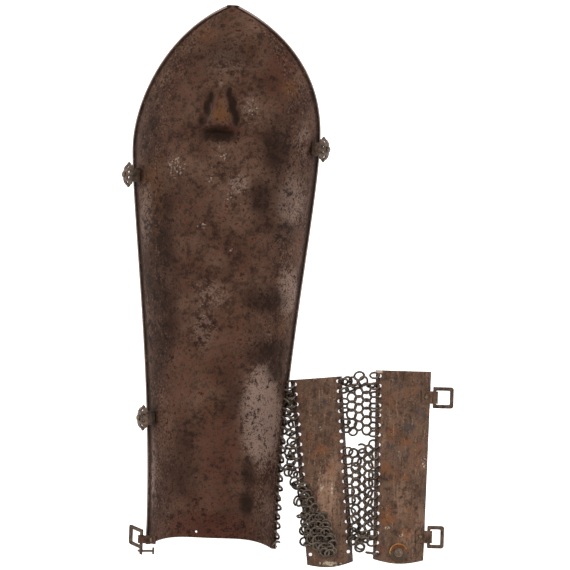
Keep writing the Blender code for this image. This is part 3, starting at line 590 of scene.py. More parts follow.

# Thinner rolled strip, rusted all over: warmer, with orange blooms, blue-grey mill scale and fine scratches,
# painted shadow of the mail along the holes and painted highlights on the edges and the lip
WRIST_IRON = rusted_iron(
    "rolled_strip_iron", sizes_mm=(9, 3.2, 1.0, 1.6, 1.4, 2.2), surface=(0.64, 0.06, 0.12),
    tone={"mottle": 0.46, "cloud": 0.28, "grain": 0.14, "streak": 0.12},
    tones=((0.38, "#2e1f17"), (0.46, "#483327"), (0.53, "#5e4839"), (0.62, "#765d4d")),
    relief_mm=0.12, relief={"mottle": 1.0, "grain": 0.5, "pit": 0.3},
    layers=(
        ({"orange_rust": 0.3, "cloud": 1.4, "mottle": 1.0, "grain": 0.6},
         1.52, 1.9, 0.6, "#633c28", 0.7, 0.05),
        ({"orange_rust": 0.8, "cloud": 1.6, "mottle": 2.6, "grain": 1.4},
         3.25, 4.0, 0.75, "#754825", 0.7, 0.05),
        # blue-grey mill scale, and the painted shadow of the mail's rings along the holes
        ({"blue_grey": 0.9, "mottle": -2.4, "cloud": 1.8, "grain": 0.8},
         0.5, 1.15, 0.8, "#383130", 0.6, 0.15),
        ({"worn_brown": 1.0, "mottle": 2.2, "streak": 1.2}, 2.0, 2.9, 0.85, "#8b6c58", 0.6, 0.1),
        ({"mottle": 1.8, "streak": 1.2, "grain": 1.6}, 2.4, 2.85, 0.85, "#1d120c", 0.7, 0.05),
        ({"mottle": -1.0, "streak": 1.8, "grain": 1.8}, 1.4, 1.8, 0.6, "#8a6c57", 0.5, 0.2),
        # pale specks, and painted highlights on the lip, a dent and a corner
        ({"pale_specks": 1.0, "speck": 2.6, "streak": 1.4}, 2.75, 3.3, 0.75, "#a89c8a", 0.45, 0.2),
        ({"pit": -1.0, "mottle": 1.5}, 0.66, 0.84, 0.75, "#19110d", 0.7, 0.1),
        # worn edges, with a painted highlight on the edges and the lip
        ({"rubbed": 1.0, "grain": 0.5}, 0.8, 1.25, 0.8, "#8b7c70", 0.38, 0.7),
    ),
)

# Drawn iron wire, dark from oil and old rust, brown in the laps, with a painted highlight that is stronger
# on rings lying higher
RING_IRON = rusted_iron(
    "drawn_iron_wire", sizes_mm=(9, 1.8, 0.5, 1.4, 0.8, 1.2), surface=(0.46, 0.45, 0.35), relief_mm=0.05,
    tones=((0.38, "#241b14"), (0.46, "#3a2f26"), (0.56, "#504336"), (0.66, "#6a5b4b")),
    layers=(
        ({"mottle": 1.0, "grain": 0.4}, 0.78, 0.92, 0.7, "#6a4f38", 0.65, 0.15),
        # painted highlight, stronger on rings that lie higher
        ({"rubbed": 1.0, "grain": 0.6}, 0.6, 1.2, 0.6, "#94867a", 0.38, 0.6),
    ),
)

# Forged fittings: dark oxide worn to a dull bronze brown on the corners
FITTING_IRON = rusted_iron(
    "forged_fitting_iron", sizes_mm=(8, 2.4, 0.6, 1.4, 1.0, 1.5), surface=(0.54, 0.25, 0.25), relief_mm=0.08,
    tones=((0.38, "#231913"), (0.46, "#3d2e23"), (0.56, "#544234"), (0.66, "#6b5745")),
    layers=(
        ({"mottle": 1.0, "grain": 0.4}, 0.78, 0.92, 0.7, "#6b4728", 0.65, 0.15),
        ({"pit": -1.0, "mottle": 1.5}, 0.66, 0.84, 0.8, "#19110d", 0.7, 0.1),
        ({"rubbed": 1.0, "grain": 0.6}, 0.7, 1.3, 0.7, "#9c8a74", 0.36, 0.75),
    ),
)

# Sheet brass gone orange-brown, with a painted highlight on the rim's upper left and painted shade on its
# lower side
WASHER_BRASS = rusted_iron(
    "tarnished_sheet_brass", sizes_mm=(6, 2.4, 0.6, 1.4, 1.0, 1.5), surface=(0.5, 0.3, 0.25), relief_mm=0.05,
    tones=((0.38, "#24160e"), (0.46, "#482a17"), (0.56, "#66341c"), (0.66, "#7c4a28")),
    layers=(
        # painted shade on the lower side
        ({"verdigris": 1.0, "mottle": 1.0}, 0.9, 1.4, 0.85, "#453a2c", 0.6, 0.2),
        # painted highlight on the rim's upper left
        ({"rubbed": 1.0, "grain": 0.6}, 0.8, 1.3, 0.8, "#b27c3a", 0.36, 0.8),
    ),
)


# Sheets

def link_edge(edge, surface, steps):
    """Turns the sheet out along its edge by steps of (outwards, up)."""
    before = edge
    for out, up in steps:
        row = []
        for k, vertex in enumerate(edge):
            first, last = edge[max(k - 1, 0)].co, edge[min(k + 1, len(edge) - 1)].co
            along = (last - first).xy.normalized()
            row.append(surface.verts.new(vertex.co + Vector((-along.y * out, along.x * out, up))))
        for k in range(len(edge) - 1):
            surface.faces.new((before[k], before[k + 1], row[k + 1], row[k]))
        before = row


def make_plate():
    surface = bmesh.new()
    downs = [HEAD_LENGTH * (k / HEAD_ROWS) ** 1.15 for k in range(HEAD_ROWS)]
    downs += [blend(HEAD_LENGTH, PLATE_LENGTH, k / SIDE_ROWS) for k in range(SIDE_ROWS + 1)]
    shares = [2 * k / PLATE_COLUMNS - 1 for k in range(PLATE_COLUMNS + 1)]
    grid = [[surface.verts.new(plate_point(down, share)) for share in shares] for down in downs]
    for upper, lower in zip(grid, grid[1:]):
        for k in range(PLATE_COLUMNS):
            surface.faces.new((upper[k], lower[k], lower[k + 1], upper[k + 1]))
    left = [row[0] for row in reversed(grid)]
    right = [row[-1] for row in grid]
    link_edge(left + grid[0][1:-1] + right, surface, RIM_STEPS)
    bmesh.ops.recalc_face_normals(surface, faces=surface.faces)
    if surface.faces[0].normal.z < 0:
        bmesh.ops.reverse_faces(surface, faces=surface.faces)
    plate = add_piece("forearm_plate", surface, PLATE_IRON)
    thicken(plate, PLATE_SHEET)
    deep = 4 * PLATE_SHEET
    rods = []
    for k in range(EDGE_HOLES):
        point, out = wall_place(FIRST_HOLE_Y + k * LINK_PITCH, PLATE_SHEET + HOLE_UP_WALL, 1)
        rods.append((point, out, LINK_HOLE, deep))
    rods += [(point, out, RIVET_BORE, deep) for point, out in fitting_places().values()]
    rods.append((*main_clip_rivet(), RIVET_BORE, deep))
    down = PLATE_LENGTH - LIP_LENGTH
    crown = plate_point(down, math.asin(SMALL_HOLE_X / section(down)[0]) / WALL_ANGLE)
    rods.append(((SMALL_HOLE_X, SMALL_HOLE_Y, crown.z), (0, 0, 1), SMALL_HOLE, 2 * deep))
    drill(plate, rods)
    for zone, patches in PLATE_ZONES.items():
        # painted shade in the groove at the foot of the wall, weaker where the mail hangs
        groove_shade_strength = 1.4 if zone == "dark_rust" else 0.0
        paint(plate, zone, lambda point, patches=patches, dark=groove_shade_strength: max(
            zone_share(point, patches), dark * groove_shade_share(point) * (0.3 if by_mail(point) else 1)))
    paint(plate, "weathered", plate_weathered)
    paint(plate, "rubbed", plate_rim_highlight)
    belongs(plate, "guard", "iron_plate", "main_plate")


def by_mail(point):
    """Whether a point lies on the side and stretch of the plate that its mail hangs from."""
    return point.x > 0 and point.y < EDGE_HOLES * LINK_PITCH


def past_wall(point):
    """How far a point of the plate lies outside its walls, from above."""
    down = min(max(PLATE_LENGTH - point.y, 0.0), PLATE_LENGTH)
    return abs(point.x - lean(down)) - half_width(down)


def groove_shade_share(point):
    """The groove at the foot of the wall, where the edge turns out; it is painted dark as shade."""
    return max(1 - abs(past_wall(point) + FOOT_INSET) / FOOT_REACH, 0.0)


def plate_rim_highlight(point):
    """Painted highlight along the outermost line of the turned edge."""
    return 1.1 * smooth((past_wall(point) - 0.0006) / 0.0005)


def plate_weathered(point):
    """The walls rusted in spots and streaks, the crown stayed smooth."""
    down = min(max(PLATE_LENGTH - point.y, 0.0), PLATE_LENGTH)
    share = abs(point.x - lean(down)) / half_width(down)
    return max(smooth((share - 0.4) / 0.35), 0.5 * smooth((HEAD_LENGTH - down) / 0.02 + 2.0))


def fitting_places():
    """Where each strap fitting's rivet goes through the wall, and the way out."""
    return {name: wall_place(y, FITTING_HEIGHT, side) for name, (y, side) in FITTINGS.items()}


def main_clip_rivet():
    return wall_place(MAIN_HINGE_Y, MAIN_RIVET_HEIGHT, -1)


def arch(share, width):
    """Height of a wrist plate's outer face, at a share of its half width from the middle."""
    slope = math.atan(4 * WRIST_ARCH / width)
    return WRIST_SHEET * math.cos(slope) + WRIST_ARCH * (1 - share**2)


def wrist_width(sizes, low):
    """A wrist plate's width at a distance up from its lower end."""
    length, low_width, top_width = sizes
    return blend(low_width, top_width, low / length)


def wrist_rivet_place(low):
    """On the outer wrist plate, where a buckle's rivet goes through it."""
    half = wrist_width(OUTER_SIZES, low) / 2
    x = half - CLIP_RIVET_INSET
    slope = math.atan(2 * WRIST_ARCH * x / half**2)
    spot = Matrix.Translation((x, low, arch(x / half, 2 * half)))
    return OUTER_FRAME @ spot @ Matrix.Rotation(slope, 4, "Y")


def link_spots(side, holes, sizes):
    """The mail holes along one long edge of a wrist plate."""
    count, first, last = holes
    step = (sizes[0] - (first + last)) / (count - 1)
    for k in range(count):
        low = first + k * step
        yield Vector((side * (wrist_width(sizes, low) / 2 - WRIST_HOLE_INSET), low, WRIST_ARCH / 2))


def make_wrist_plate(name, node, place, sizes, rods):
    surface = bmesh.new()
    length = sizes[0]
    grid = []
    for j in range(WRIST_ROWS + 1):
        low = length * j / WRIST_ROWS
        width = wrist_width(sizes, low)
        row = []
        for k in range(WRIST_COLUMNS + 1):
            share = 2 * k / WRIST_COLUMNS - 1
            bow = LOW_BOW * (1 - low / length) ** 3 * (1 - share**2)
            lip = LOW_LIP * max(1 - 2 * low / LIP_LENGTH, 0.0) * (1 - share**2)
            point = Vector((share * width / 2, low - bow, arch(share, width) + lip))
            point.z += 0.6 * beaten(place @ point) * (1 - share**4)
            row.append(surface.verts.new(point))
        grid.append(row)
    for lower, upper in zip(grid, grid[1:]):
        for k in range(WRIST_COLUMNS):
            surface.faces.new((lower[k], lower[k + 1], upper[k + 1], upper[k]))
    plate = add_piece(name, surface, WRIST_IRON, place)
    thicken(plate, WRIST_SHEET)
    drill(plate, rods, place)

    back = place.inverted()

    def from_edge(at):
        """How far a point lies past the plate's long edges, below 0 on the plate."""
        return abs(at.x) - wrist_width(sizes, at.y) / 2

    def ring_shadow(point):
        """Painted shadow of the mail's rings: a dark band along the holes."""
        at = back @ point
        if at.x > 0 and node == "outer_wrist_plate":
            return 0.0
        return 0.85 * smooth((from_edge(at) + RING_SHADOW_REACH) / RING_SHADOW_FADE)

    def rubbed(point):
        """The long edges and the lower end: worn, with a painted highlight on the flared lip and the edges.
        """
        at = back @ point
        side = smooth((from_edge(at) + 0.0006) / 0.0008)
        bow = LOW_BOW * (1 - (at.x / (wrist_width(sizes, at.y) / 2)) ** 2)
        lip = smooth(1 - (at.y + bow) / 0.0011)
        return max(0.45 * side, 0.6 * lip)

    paint(plate, "rubbed", rubbed)
    for zone, patches in WRIST_ZONES.items():
        near = []
        for x, y, across, along, strength in patches:
            at = seen(x, y, WRIST_ARCH) * 1000
            near.append((at.x, at.y, across * PHOTO_SCALE * 1000, along * PHOTO_SCALE * 1000, strength))
        # the blue-grey zone also takes the painted shadow of the mail's rings
        edge = ring_shadow if zone == "blue_grey" else (lambda point: 0.0)
        paint(plate, zone, lambda point, near=near, edge=edge: max(zone_share(point, near), edge(point)))
    belongs(plate, "guard", "wrist_iron", node)


def make_wrist_plates():
    up = (0, 0, 1)
    deep = 2 * WRIST_ARCH
    spots = [spot for side in (-1, 1) for spot in link_spots(side, INNER_HOLES, INNER_SIZES)]
    rods = [(spot, up, LINK_HOLE, deep) for spot in spots]
    make_wrist_plate("inner_wrist_strip", "inner_wrist_plate", INNER_FRAME, INNER_SIZES, rods)
    rods = [(spot, up, LINK_HOLE, deep) for spot in link_spots(-1, OUTER_HOLES, OUTER_SIZES)]
    for low in (UPPER_BUCKLE_Y, LOWER_BUCKLE_Y):
        spot = OUTER_FRAME.inverted() @ wrist_rivet_place(low)
        rods.append((spot.translation, spot.to_3x3() @ Vector(up), RIVET_BORE, deep))
    rods.append(((0, HAND_Y, WRIST_ARCH), up, RIVET_BORE, deep))
    make_wrist_plate("outer_wrist_strip", "outer_wrist_plate", OUTER_FRAME, OUTER_SIZES, rods)


# Fittings

def forged(piece, node, rubbed, body="guard"):
    """Settles a fitting's mesh, rubs it evenly and lets it stand for its CAD node."""
    settle(piece)
    paint(piece, "rubbed", lambda point: rubbed)
    belongs(piece, body, "fitting_iron", node)


def worn_copy(node, body, width, segments=2, finish=None):
    """A forged piece with the CAD node's shape and worn, rounded edges."""
    builder = bmesh.new()
    builder.from_mesh(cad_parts[node].data)
    bmesh.ops.remove_doubles(builder, verts=builder.verts, dist=1e-6)
    bmesh.ops.dissolve_limit(builder, angle_limit=math.radians(2), verts=builder.verts, edges=builder.edges)
    builder.transform(Matrix.Translation(-PART_ORIGIN))
    piece = add_piece(node + "_forged", builder, finish or FITTING_IRON)
    soften(piece, width, segments)
    forged(piece, node, 0.3, body)


def rivet_profile(grip, head, dome, tail, tail_dome):
    """A rivet whose round head sits on z = 0 and whose tail is below the grip."""
    turns = [math.pi / 2 * k / 6 for k in range(6, -1, -1)]
    profile = [(0, dome)] + [(head * math.cos(turn), dome * math.sin(turn)) for turn in turns[1:]]
    profile += [(RIVET_SHANK, 0), (RIVET_SHANK, -grip), (tail, -grip)]
    return profile + [(tail * 0.8, -grip - tail_dome * 0.7), (0, -grip - tail_dome)]


def make_rivet(node, place, grip, sizes=PLATE_RIVET):
    bar = lathe(rivet_profile(grip, *sizes), RIVET_SIDES)
    forged(add_piece(node + "_hammered", bar, FITTING_IRON, place), node, 0.6)


def make_rosette(node, place, base):
    """A domed rose of eight petals, pierced between them."""
    surface = bmesh.new()
    per_lobe = 10
    sides = per_lobe * ROSETTE_LOBES
    grid = []
    for j in range(ROSETTE_RINGS + 1):
        share = j / ROSETTE_RINGS
        row = []
        for k in range(sides):
            turn = 2 * math.pi * k / sides
            notch = ROSETTE_NOTCH * share**3 * (1 - abs(math.cos(ROSETTE_LOBES / 2 * turn)))
            radius = blend(RIVET_BORE, ROSETTE_RADIUS - notch, share)
            petal = PETAL_SWELL * share * math.cos(ROSETTE_LOBES * turn)
            height = base + ROSETTE_SHEET + ROSETTE_DOME * (1 - share**2) + petal
            row.append(surface.verts.new((radius * math.cos(turn), radius * math.sin(turn), height)))
        grid.append(row)
    for j, (inner, outer) in enumerate(zip(grid, grid[1:])):
        for k in range(sides):
            step = k % per_lobe
            pierced = (5 <= j <= 8 and step in (4, 5)) or (j in (6, 7) and step in (3, 6))
            if not pierced:
                after = (k + 1) % sides
                surface.faces.new((inner[k], outer[k], outer[after], inner[after]))
    rose = add_piece(node + "_raised", surface, FITTING_IRON, place)
    thicken(rose, ROSETTE_SHEET)
    forged(rose, node, 0.35)


def make_fittings():
    for name, (point, out) in fitting_places().items():
        place = facing(point, out)
        worn_copy(name + "_collar", "guard", 0.0006, 3)
        base = 2 * GAP + COLLAR_LENGTH
        make_rosette(name + "_rosette", place, base)
        head = base + ROSETTE_SHEET + ROSETTE_DOME + GAP
        grip = head + PLATE_SHEET + GAP
        make_rivet(name + "_rivet", place @ Matrix.Translation((0, 0, head)), grip)


def make_buckles():
    for name, body in (("main", "main_frame"), ("upper", "upper_frame"), ("lower", "lower_frame")):
        worn_copy(name + "_buckle_frame", body, 0.0006, 3)
        worn_copy(name + "_buckle_clip", "guard", 0.00012, 1, PLATE_IRON if name == "main" else WRIST_IRON)
    worn_copy("main_buckle_pin", "guard", 0.00015, 2)
    head = 2 * GAP + CLIP_SHEET
    spots = {
        "main_buckle_rivet": facing(*main_clip_rivet()),
        "upper_buckle_rivet": wrist_rivet_place(UPPER_BUCKLE_Y),
        "lower_buckle_rivet": wrist_rivet_place(LOWER_BUCKLE_Y),
    }
    for node, place in spots.items():
        make_rivet(node, place @ Matrix.Translation((0, 0, head)), head + PLATE_SHEET + GAP, CLIP_RIVET)


def make_hand_rivet():
    top = arch(0, OUTER_SIZES[1]) + LOW_LIP / 2
    place = OUTER_FRAME @ Matrix.Translation((0, HAND_Y, top))
    steps = 8
    shares = [k / steps for k in range(steps + 1)]
    under = [(blend(RIVET_BORE, HAND_WASHER_RADIUS, share), GAP + HAND_WASHER_RISE * (1 - share**3))
             for share in shares]
    over = [(radius, height + HAND_WASHER_SHEET) for radius, height in reversed(under)]
    turned = lathe(under + over, 2 * RIVET_SIDES, closed=True)
    cup = add_piece("hand_washer_cup", turned, WASHER_BRASS, place)
    settle(cup)
    back = place.inverted()

    def rubbed(point):
        """Painted highlight on the rim's upper left."""
        at = back @ point
        rim = smooth(math.hypot(at.x, at.y) / HAND_WASHER_RADIUS * 5 - 3.8)
        return rim * smooth(at.y / 0.002 + 0.5 - at.x / 0.006)

    paint(cup, "rubbed", rubbed)
    # painted shade on the washer's lower side
    paint(cup, "verdigris", lambda point: smooth(0.5 - (back @ point).y / 0.0025))
    belongs(cup, "guard", "washer_brass", "hand_washer")
    head = 2 * GAP + HAND_WASHER_RISE + HAND_WASHER_SHEET
    spot = place @ Matrix.Translation((0, 0, head))
    make_rivet("hand_rivet", spot, head + WRIST_SHEET + 2 * GAP, HAND_RIVET)


# Mail

def ring_tree():
    """Puts a riveted ring on every point, turned and sized by the points' own numbers; a torn one gapes."""
    tree = bpy.data.node_groups.new("mail rings", "GeometryNodeTree")
    face = tree.interface
    face.new_socket("Geometry", in_out="INPUT", socket_type="NodeSocketGeometry")
    for name, value in (("Ring radius", RING_RADIUS), ("Wire radius", WIRE_RADIUS), ("Lap size", LAP_SIZE)):
        face.new_socket(name, in_out="INPUT", socket_type="NodeSocketFloat").default_value = value
    face.new_socket("Finish", in_out="INPUT", socket_type="NodeSocketMaterial")
    face.new_socket("Geometry", in_out="OUTPUT", socket_type="NodeSocketGeometry")
    given = add_node(tree, "NodeGroupInput").outputs
    thin = {"Resolution": WIRE_SIDES, "Radius": given["Wire radius"]}
    wire = add_node(tree, "GeometryNodeCurvePrimitiveCircle", thin).outputs["Curve"]
    wide = {"Resolution": RING_STEPS, "Radius": given["Ring radius"]}
    closed = add_node(tree, "GeometryNodeCurvePrimitiveCircle", wide).outputs["Curve"]
    gaping = add_node(tree, "GeometryNodeCurveArc", {**wide, "Sweep Angle": TORN_SWEEP}).outputs["Curve"]
    ball = {"Segments": 6, "Rings": 4, "Radius": given["Lap size"]}
    lap = add_node(tree, "GeometryNodeMeshUVSphere", ball).outputs["Mesh"]
    at_side = add_node(tree, "ShaderNodeCombineXYZ", {"X": given["Ring radius"]}).outputs["Vector"]
    flattened = {"Geometry": lap, "Translation": at_side, "Scale": (0.8, 1.5, 0.85)}
    lap = add_node(tree, "GeometryNodeTransform", flattened).outputs["Geometry"]
    whole_wire = {"Curve": closed, "Profile Curve": wire}
    whole = add_node(tree, "GeometryNodeCurveToMesh", whole_wire).outputs["Mesh"]
    joined = add_node(tree, "GeometryNodeJoinGeometry")
    tree.links.new(whole, joined.inputs[0])
    tree.links.new(lap, joined.inputs[0])
    torn_wire = {"Curve": gaping, "Profile Curve": wire, "Fill Caps": True}
    torn_ring = add_node(tree, "GeometryNodeCurveToMesh", torn_wire).outputs["Mesh"]
    numbers = {}
    for name, kind in (("turn", "FLOAT_VECTOR"), ("size", "FLOAT"), ("torn", "BOOLEAN")):
        stored = add_node(tree, "GeometryNodeInputNamedAttribute", {"Name": name}, {"data_type": kind})
        numbers[name] = stored.outputs["Attribute"]
    sound = add_node(tree, "FunctionNodeBooleanMath", {"Boolean": numbers["torn"]}, {"operation": "NOT"})
    rotation = add_node(tree, "FunctionNodeEulerToRotation", {"Euler": numbers["turn"]})
    both = add_node(tree, "GeometryNodeJoinGeometry")
    for shape, chosen in ((joined.outputs[0], sound.outputs[0]), (torn_ring, numbers["torn"])):
        copies = add_node(tree, "GeometryNodeInstanceOnPoints", {
            "Points": given["Geometry"], "Selection": chosen, "Instance": shape,
            "Rotation": rotation.outputs[0], "Scale": numbers["size"],
        })
        tree.links.new(copies.outputs[0], both.inputs[0])
    real = add_node(tree, "GeometryNodeRealizeInstances", {"Geometry": both.outputs[0]})
    finish = {"Geometry": real.outputs[0], "Material": given["Finish"]}
    finished = add_node(tree, "GeometryNodeSetMaterial", finish)
    add_node(tree, "NodeGroupOutput", {"Geometry": finished.outputs[0]})
    return tree


RING_TREE = ring_tree()


class Ring:
    """One mail ring: the point at its middle, and how its flat is turned, in degrees about X, Y and Z."""

    def __init__(self, point, about_x=0.0, about_y=0.0, about_z=0.0, size=1.0, torn=False):
        self.point = Vector(point)
        self.turn = Vector(math.radians(angle) for angle in (about_x, about_y, about_z))
        self.size = size
        self.torn = torn


def shaken(ring, chance):
    """A ring that lies a little off its place, as worn mail does."""
    ring.turn += Vector(math.radians(chance.uniform(-SHAKE_DEGREES, SHAKE_DEGREES)) for _ in range(3))
    ring.point += Vector(chance.uniform(-SHAKE_REACH, SHAKE_REACH) for _ in range(3))
    return ring


def make_rings(name, node, rings, seed):
    chance = random.Random(seed)
    rings = [shaken(ring, chance) for ring in rings]
    mesh = bpy.data.meshes.new(name + "_points")
    mesh.from_pydata([ring.point + PART_ORIGIN for ring in rings], [], [])
    turns = [angle for ring in rings for angle in ring.turn]
    mesh.attributes.new("turn", "FLOAT_VECTOR", "POINT").data.foreach_set("vector", turns)
    mesh.attributes.new("size", "FLOAT", "POINT").data.foreach_set("value", [ring.size for ring in rings])
    mesh.attributes.new("torn", "BOOLEAN", "POINT").data.foreach_set("value", [ring.torn for ring in rings])
    piece = add_object(name, mesh)
    links = piece.modifiers.new("rings", "NODES")
    links.node_group = RING_TREE
    given = {"Ring radius": RING_RADIUS, "Wire radius": WIRE_RADIUS, "Lap size": LAP_SIZE}
    given["Finish"] = RING_IRON
    for item in RING_TREE.interface.items_tree:
        if item.in_out == "INPUT" and item.name in given:
            links[item.identifier] = given[item.name]
    settle(piece, 180)
    # painted highlight: rings that lie higher are lighter
    paint(piece, "rubbed", lambda point: 0.5 * smooth((point.z - 0.0015) / 0.004))
    belongs(piece, "guard", "mail_iron", node)


def laid(rows, height=MAIL_HEIGHT):
    """Rings by the photograph: pixel, turns about X, Y and Z, lift over the height, size, a word if torn."""
    for x, y, about_x, about_y, about_z, lift, size, *torn in rows:
        yield Ring(seen(x, y, height) + Vector((0, 0, lift)), about_x, about_y, about_z, size, bool(torn))


def woven(columns):
    """Columns of rings along the wrist plates, by the photograph. Neighbours lean opposite ways."""
    for x, tilt, *ys in columns:
        for y in ys:
            yield Ring(seen(x, y, MAIL_HEIGHT), 0, tilt, 2, WIDE_RING if tilt > 0 else 1.0)


def edge_rings(place, spots, first, last, tilt, reach=EDGE_RING_REACH):
    """Rings through a wrist plate's holes from first to last, half of each over its edge and half under."""
    kept = [spot for spot in spots if first < spot.y < last]
    for k, spot in enumerate(kept):
        side = math.copysign(1, spot.x)
        middle = Vector((spot.x + side * reach, spot.y + STAGGER * (-1) ** k, EDGE_RING_HEIGHT))
        yield Ring(place @ middle, tilt * side, 0, math.degrees(place.to_euler().z) + 6 * (-1) ** k)


def rim_rings(numbers):
    """Rings that pass through the main plate's holes and hang round its turned edge."""
    for k in numbers:
        point, _ = wall_place(FIRST_HOLE_Y + k * LINK_PITCH, PLATE_SHEET + HOLE_UP_WALL, 1)
        yield Ring(point + RIM_RING_REACH, RIM_RING_LEAN, 0, RIM_RING_TURN + 8 * (-1) ** k, RIM_RING_SIZE)


def make_outer_mail(inner_right, outer_left):
    """The two patches between the wrist plates."""
    rings = list(woven((
        (351.8, 22, 397.2, 405.6, 414.0, 423.2), (358.9, -20, 392.2, 400.1, 408.4, 416.9, 426.2),
        (366.2, 22, 388.8, 396.4, 404.0, 412.3, 421.2, 429.8),
    )))
    rings += laid((
        (359.2, 375.8, 26, 6, 0, 0.0002, 1.08), (363.0, 381.3, 0, 30, 0, 0.0012, 1.0),
        (347.6, 381.2, 8, 20, 0, 0.0, 1.0), (353.0, 381.5, 24, -30, 0, 0.0009, 1.0),
        (350.0, 388.2, 56, 10, 0, 0.0003, 1.0), (355.6, 386.0, 60, -8, 0, 0.0009, 0.95),
        (353.2, 431.7, 6, 8, 0, -0.0008, 0.92), (370.8, 385.6, 62, 0, 0, 0.0004, 0.95),
    ))
    rings += edge_rings(INNER_FRAME, inner_right, 0.079, 0.119, 56)
    rings += edge_rings(OUTER_FRAME, outer_left, 0.074, 0.121, 50)
    make_rings("upper_outer_rings", "mail_outer_upper", rings, 21)

    rings = list(woven((
        (356.0, 24, 460.9, 468.3, 475.6, 483.2, 491.8, 500.4, 509.2, 517.8, 526.4, 534.6),
        (362.1, -20, 453.8, 462.5, 470.9, 479.4, 488.0, 496.3, 504.8, 513.2, 521.8, 530.0),
        (368.3, 24, 449.8, 457.8, 466.0, 474.8, 483.9, 492.4, 500.6, 509.2, 517.6, 526.0),
    )))
    rings += laid((
        (361.6, 448.2, 14, 0, -150, 0, 1.0, "torn"),
        (353.0, 452.8, 10, 14, 0, 0.0, 0.97), (360.8, 537.6, 50, 26, 0, 0.0012, 1.0),
        (364.6, 538.6, 38, -44, 0, 0.0016, 1.0), (362.0, 534.8, -52, 10, 0, 0.0020, 0.95),
        (358.2, 541.0, 30, 48, 0, 0.0006, 1.0), (365.6, 533.6, 34, 30, 0, 0.0008, 1.0),
        (360.0, 547.6, 24, 10, 0, -0.0006, 1.0), (360.4, 546.2, 42, -14, 0, 0.0005, 0.95),
        (370.4, 537.4, 58, 0, 0, 0.0, 0.9), (353.8, 541.0, 30, 50, 0, 0.0, 1.0),
    ))
    rings += edge_rings(INNER_FRAME, inner_right, 0.009, 0.073, 28)
    rings += edge_rings(OUTER_FRAME, outer_left, 0.007, 0.075, 28)
    lowest = outer_left[0]
    edge_on = OUTER_FRAME @ Vector((lowest.x - 0.0034, lowest.y - 0.0006, 0.0033))
    rings.append(Ring(edge_on, 84, 0, -2, 1.25))
    make_rings("lower_outer_rings", "mail_outer_lower", rings, 22)


def make_inner_mail(inner_left):
    """The mail that joins the main plate to the inner wrist plate, the torn row, and the folded heap."""
    rings = list(laid((
        (289.4, 389.6, 62, 10, 6, 0, 0.9), (288.2, 395.0, 48, 36, -8, 0, 0.9),
        (290.6, 399.8, 66, -20, 0, 0, 0.9), (287.8, 403.4, 40, 30, 12, 0, 0.95),
        (290.8, 406.6, 30, -46, 0, 0, 0.9), (288.6, 409.2, 64, 0, -10, 0, 0.9),
        (291.6, 414.0, 26, 42, 0, 0, 0.9), (286.4, 413.5, 54, 20, 0, 0, 1.0),
        (287.2, 419.0, 40, -36, 10, 0, 1.0), (288.7, 425.4, 20, 30, 0, 0, 1.0),
        (289.8, 432.6, 52, -20, 12, 0, 0.95), (291.2, 441.6, 22, 16, 0, 0, 0.95),
        (289.4, 446.8, 58, 14, -10, 0, 0.95), (288.4, 452.6, 14, -30, 0, 0, 0.9),
        (292.6, 452.2, 20, 36, 0, 0, 0.95), (290.4, 457.4, 46, -28, 20, 0, 0.95),
        (290.8, 462.0, 16, 20, 0, 0, 1.0), (288.0, 466.6, 44, 30, 0, 0, 0.95),
        (288.0, 471.4, 12, 26, 0, 0, 0.95), (293.2, 473.8, 20, -18, 0, 0, 1.0),
        (291.6, 467.6, 48, -30, 0, 0, 0.95), (293.8, 481.2, 24, 30, 30, 0, 1.0, "torn"),
        (296.4, 485.4, 14, -40, 60, 0, 1.0, "torn"),
    )))
    rings += edge_rings(INNER_FRAME, inner_left, 0.047, 0.118, 46)
    rings += rim_rings(range(7, EDGE_HOLES))
    make_rings("inner_joining_rings", "mail_inner_joined", rings, 23)

    rings = list(rim_rings(range(1, 7)))
    first, _ = wall_place(FIRST_HOLE_Y, PLATE_SHEET + HOLE_UP_WALL, 1)
    rings.append(Ring(first + Vector((0.0017, 0, -0.0026)), 60, 0, 24, 1.1, True))
    make_rings("torn_edge_rings", "mail_edge_row", rings, 24)

    chance = random.Random(25)
    rings = []
    for y, left, right in HEAP_ROWS:
        count = max(round((right - left) / HEAP_STEP), 1)
        for k in range(count + 1):
            x = blend(left, right, k / count)
            ground = INNER_FRAME.inverted() @ seen(x, y, WRIST_ARCH)
            width = wrist_width(INNER_SIZES, ground.y)
            share = max(min(2 * ground.x / width, 1.0), -1.0)
            for layer, lift in enumerate(HEAP_LIFTS if k < count else (HEAP_END_LIFT,)):
                shift = HEAP_SHIFT * layer
                spot = Vector((ground.x + shift, ground.y - shift, arch(share, width) + lift))
                about_y = (HEAP_LEAN if k % 2 else -HEAP_LEAN) + chance.uniform(-8, 8)
                about_x = HEAP_TILT + chance.uniform(-8, 8)
                rings.append(Ring(INNER_FRAME @ spot, about_x, about_y, chance.uniform(-15, 15)))
    rings += laid((
        (296.6, 500.4, 16, 48, 0, 0, 1.0, "torn"), (299.4, 502.0, 40, 34, 40, 0, 1.0),
        (301.4, 516.4, 74, 0, 0, 0, 1.0, "torn"), (304.4, 530.6, 20, 14, 0, 0, 1.0),
        (304.8, 541.6, 22, 10, 0, 0, 1.0),
    ), LOOSE_HEIGHT)
    rings += edge_rings(INNER_FRAME, inner_left, 0.012, 0.047, 70, 0.0004)
    make_rings("folded_back_rings", "mail_inner_heap", rings, 26)


def make_mail():
    outer_left = list(link_spots(-1, OUTER_HOLES, OUTER_SIZES))
    make_outer_mail(list(link_spots(1, INNER_HOLES, INNER_SIZES)), outer_left)
    make_inner_mail(list(link_spots(-1, INNER_HOLES, INNER_SIZES)))


# Stage

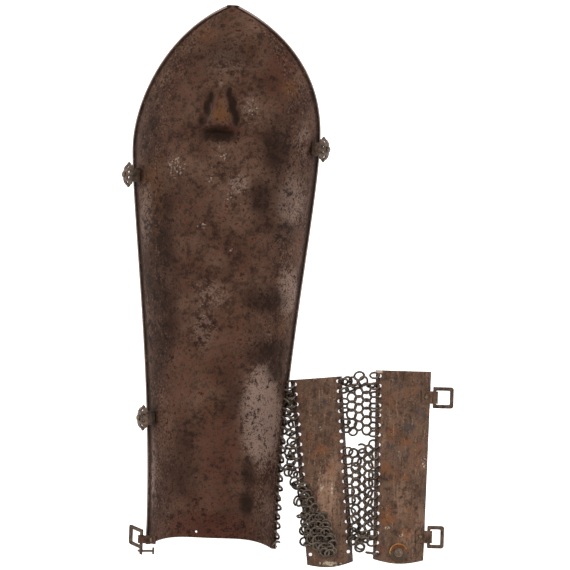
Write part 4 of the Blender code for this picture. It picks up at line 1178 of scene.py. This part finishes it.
def make_stage():
    builder = bmesh.new()
    bmesh.ops.create_grid(builder, x_segments=2, y_segments=2, size=6.0)
    builder.transform(Matrix.Translation(-PART_ORIGIN))
    opal = bpy.data.materials.new("opal_light_table")
    opal.use_nodes = True
    tree = opal.node_tree
    shader = tree.nodes["Principled BSDF"]
    place = add_node(tree, "ShaderNodeTexCoord").outputs["Object"]
    haze = add_node(tree, "ShaderNodeTexNoise", {"Vector": place, "Scale": 1000 / 3.0}).outputs["Fac"]
    tones = {"Factor_Float": haze, "A_Color": linear("#fbfbfb"), "B_Color": linear("#ffffff")}
    shade = add_node(tree, "ShaderNodeMix", tones, {"data_type": "RGBA"}).outputs[2]
    tree.links.new(shade, shader.inputs["Base Color"])
    tree.links.new(shade, shader.inputs["Emission Color"])
    shader.inputs["Emission Strength"].default_value = TABLE_GLOW
    shader.inputs["Roughness"].default_value = 0.9
    shader.inputs["Specular IOR Level"].default_value = 0.1
    table = add_piece("light_table", builder, opal)

    world = bpy.data.worlds.new("white studio")
    world.use_nodes = True
    sky = world.node_tree.nodes["Background"]
    sky.inputs["Color"].default_value = (1.0, 1.0, 1.0, 1.0)
    sky.inputs["Strength"].default_value = WORLD_LIGHT
    bpy.context.scene.world = world

    for name, spot, size, power in SOFTBOXES:
        lamp = bpy.data.lights.new(name, "AREA")
        lamp.shape = "SQUARE"
        lamp.size = size
        lamp.energy = power
        light = add_object(name, lamp)
        light.location = spot
        light.rotation_euler = (-Vector(spot)).to_track_quat("-Z", "Y").to_euler()

    lens = bpy.data.cameras.new("camera")
    lens.sensor_width = SENSOR
    lens.lens = SENSOR * CAMERA_HEIGHT / (PHOTO_PIXELS * PHOTO_SCALE)
    lens.clip_end = 50
    camera = add_object("camera", lens)
    camera.location = (*PHOTO_CENTRE, CAMERA_HEIGHT)
    camera.rotation_euler = (0, 0, PHOTO_TURN)
    bpy.context.scene.camera = camera
    bpy.context.scene.view_settings.view_transform = "Standard"


make_plate()
make_wrist_plates()
make_fittings()
make_buckles()
make_hand_rivet()
make_mail()
make_stage()

bpy.context.view_layer.update()
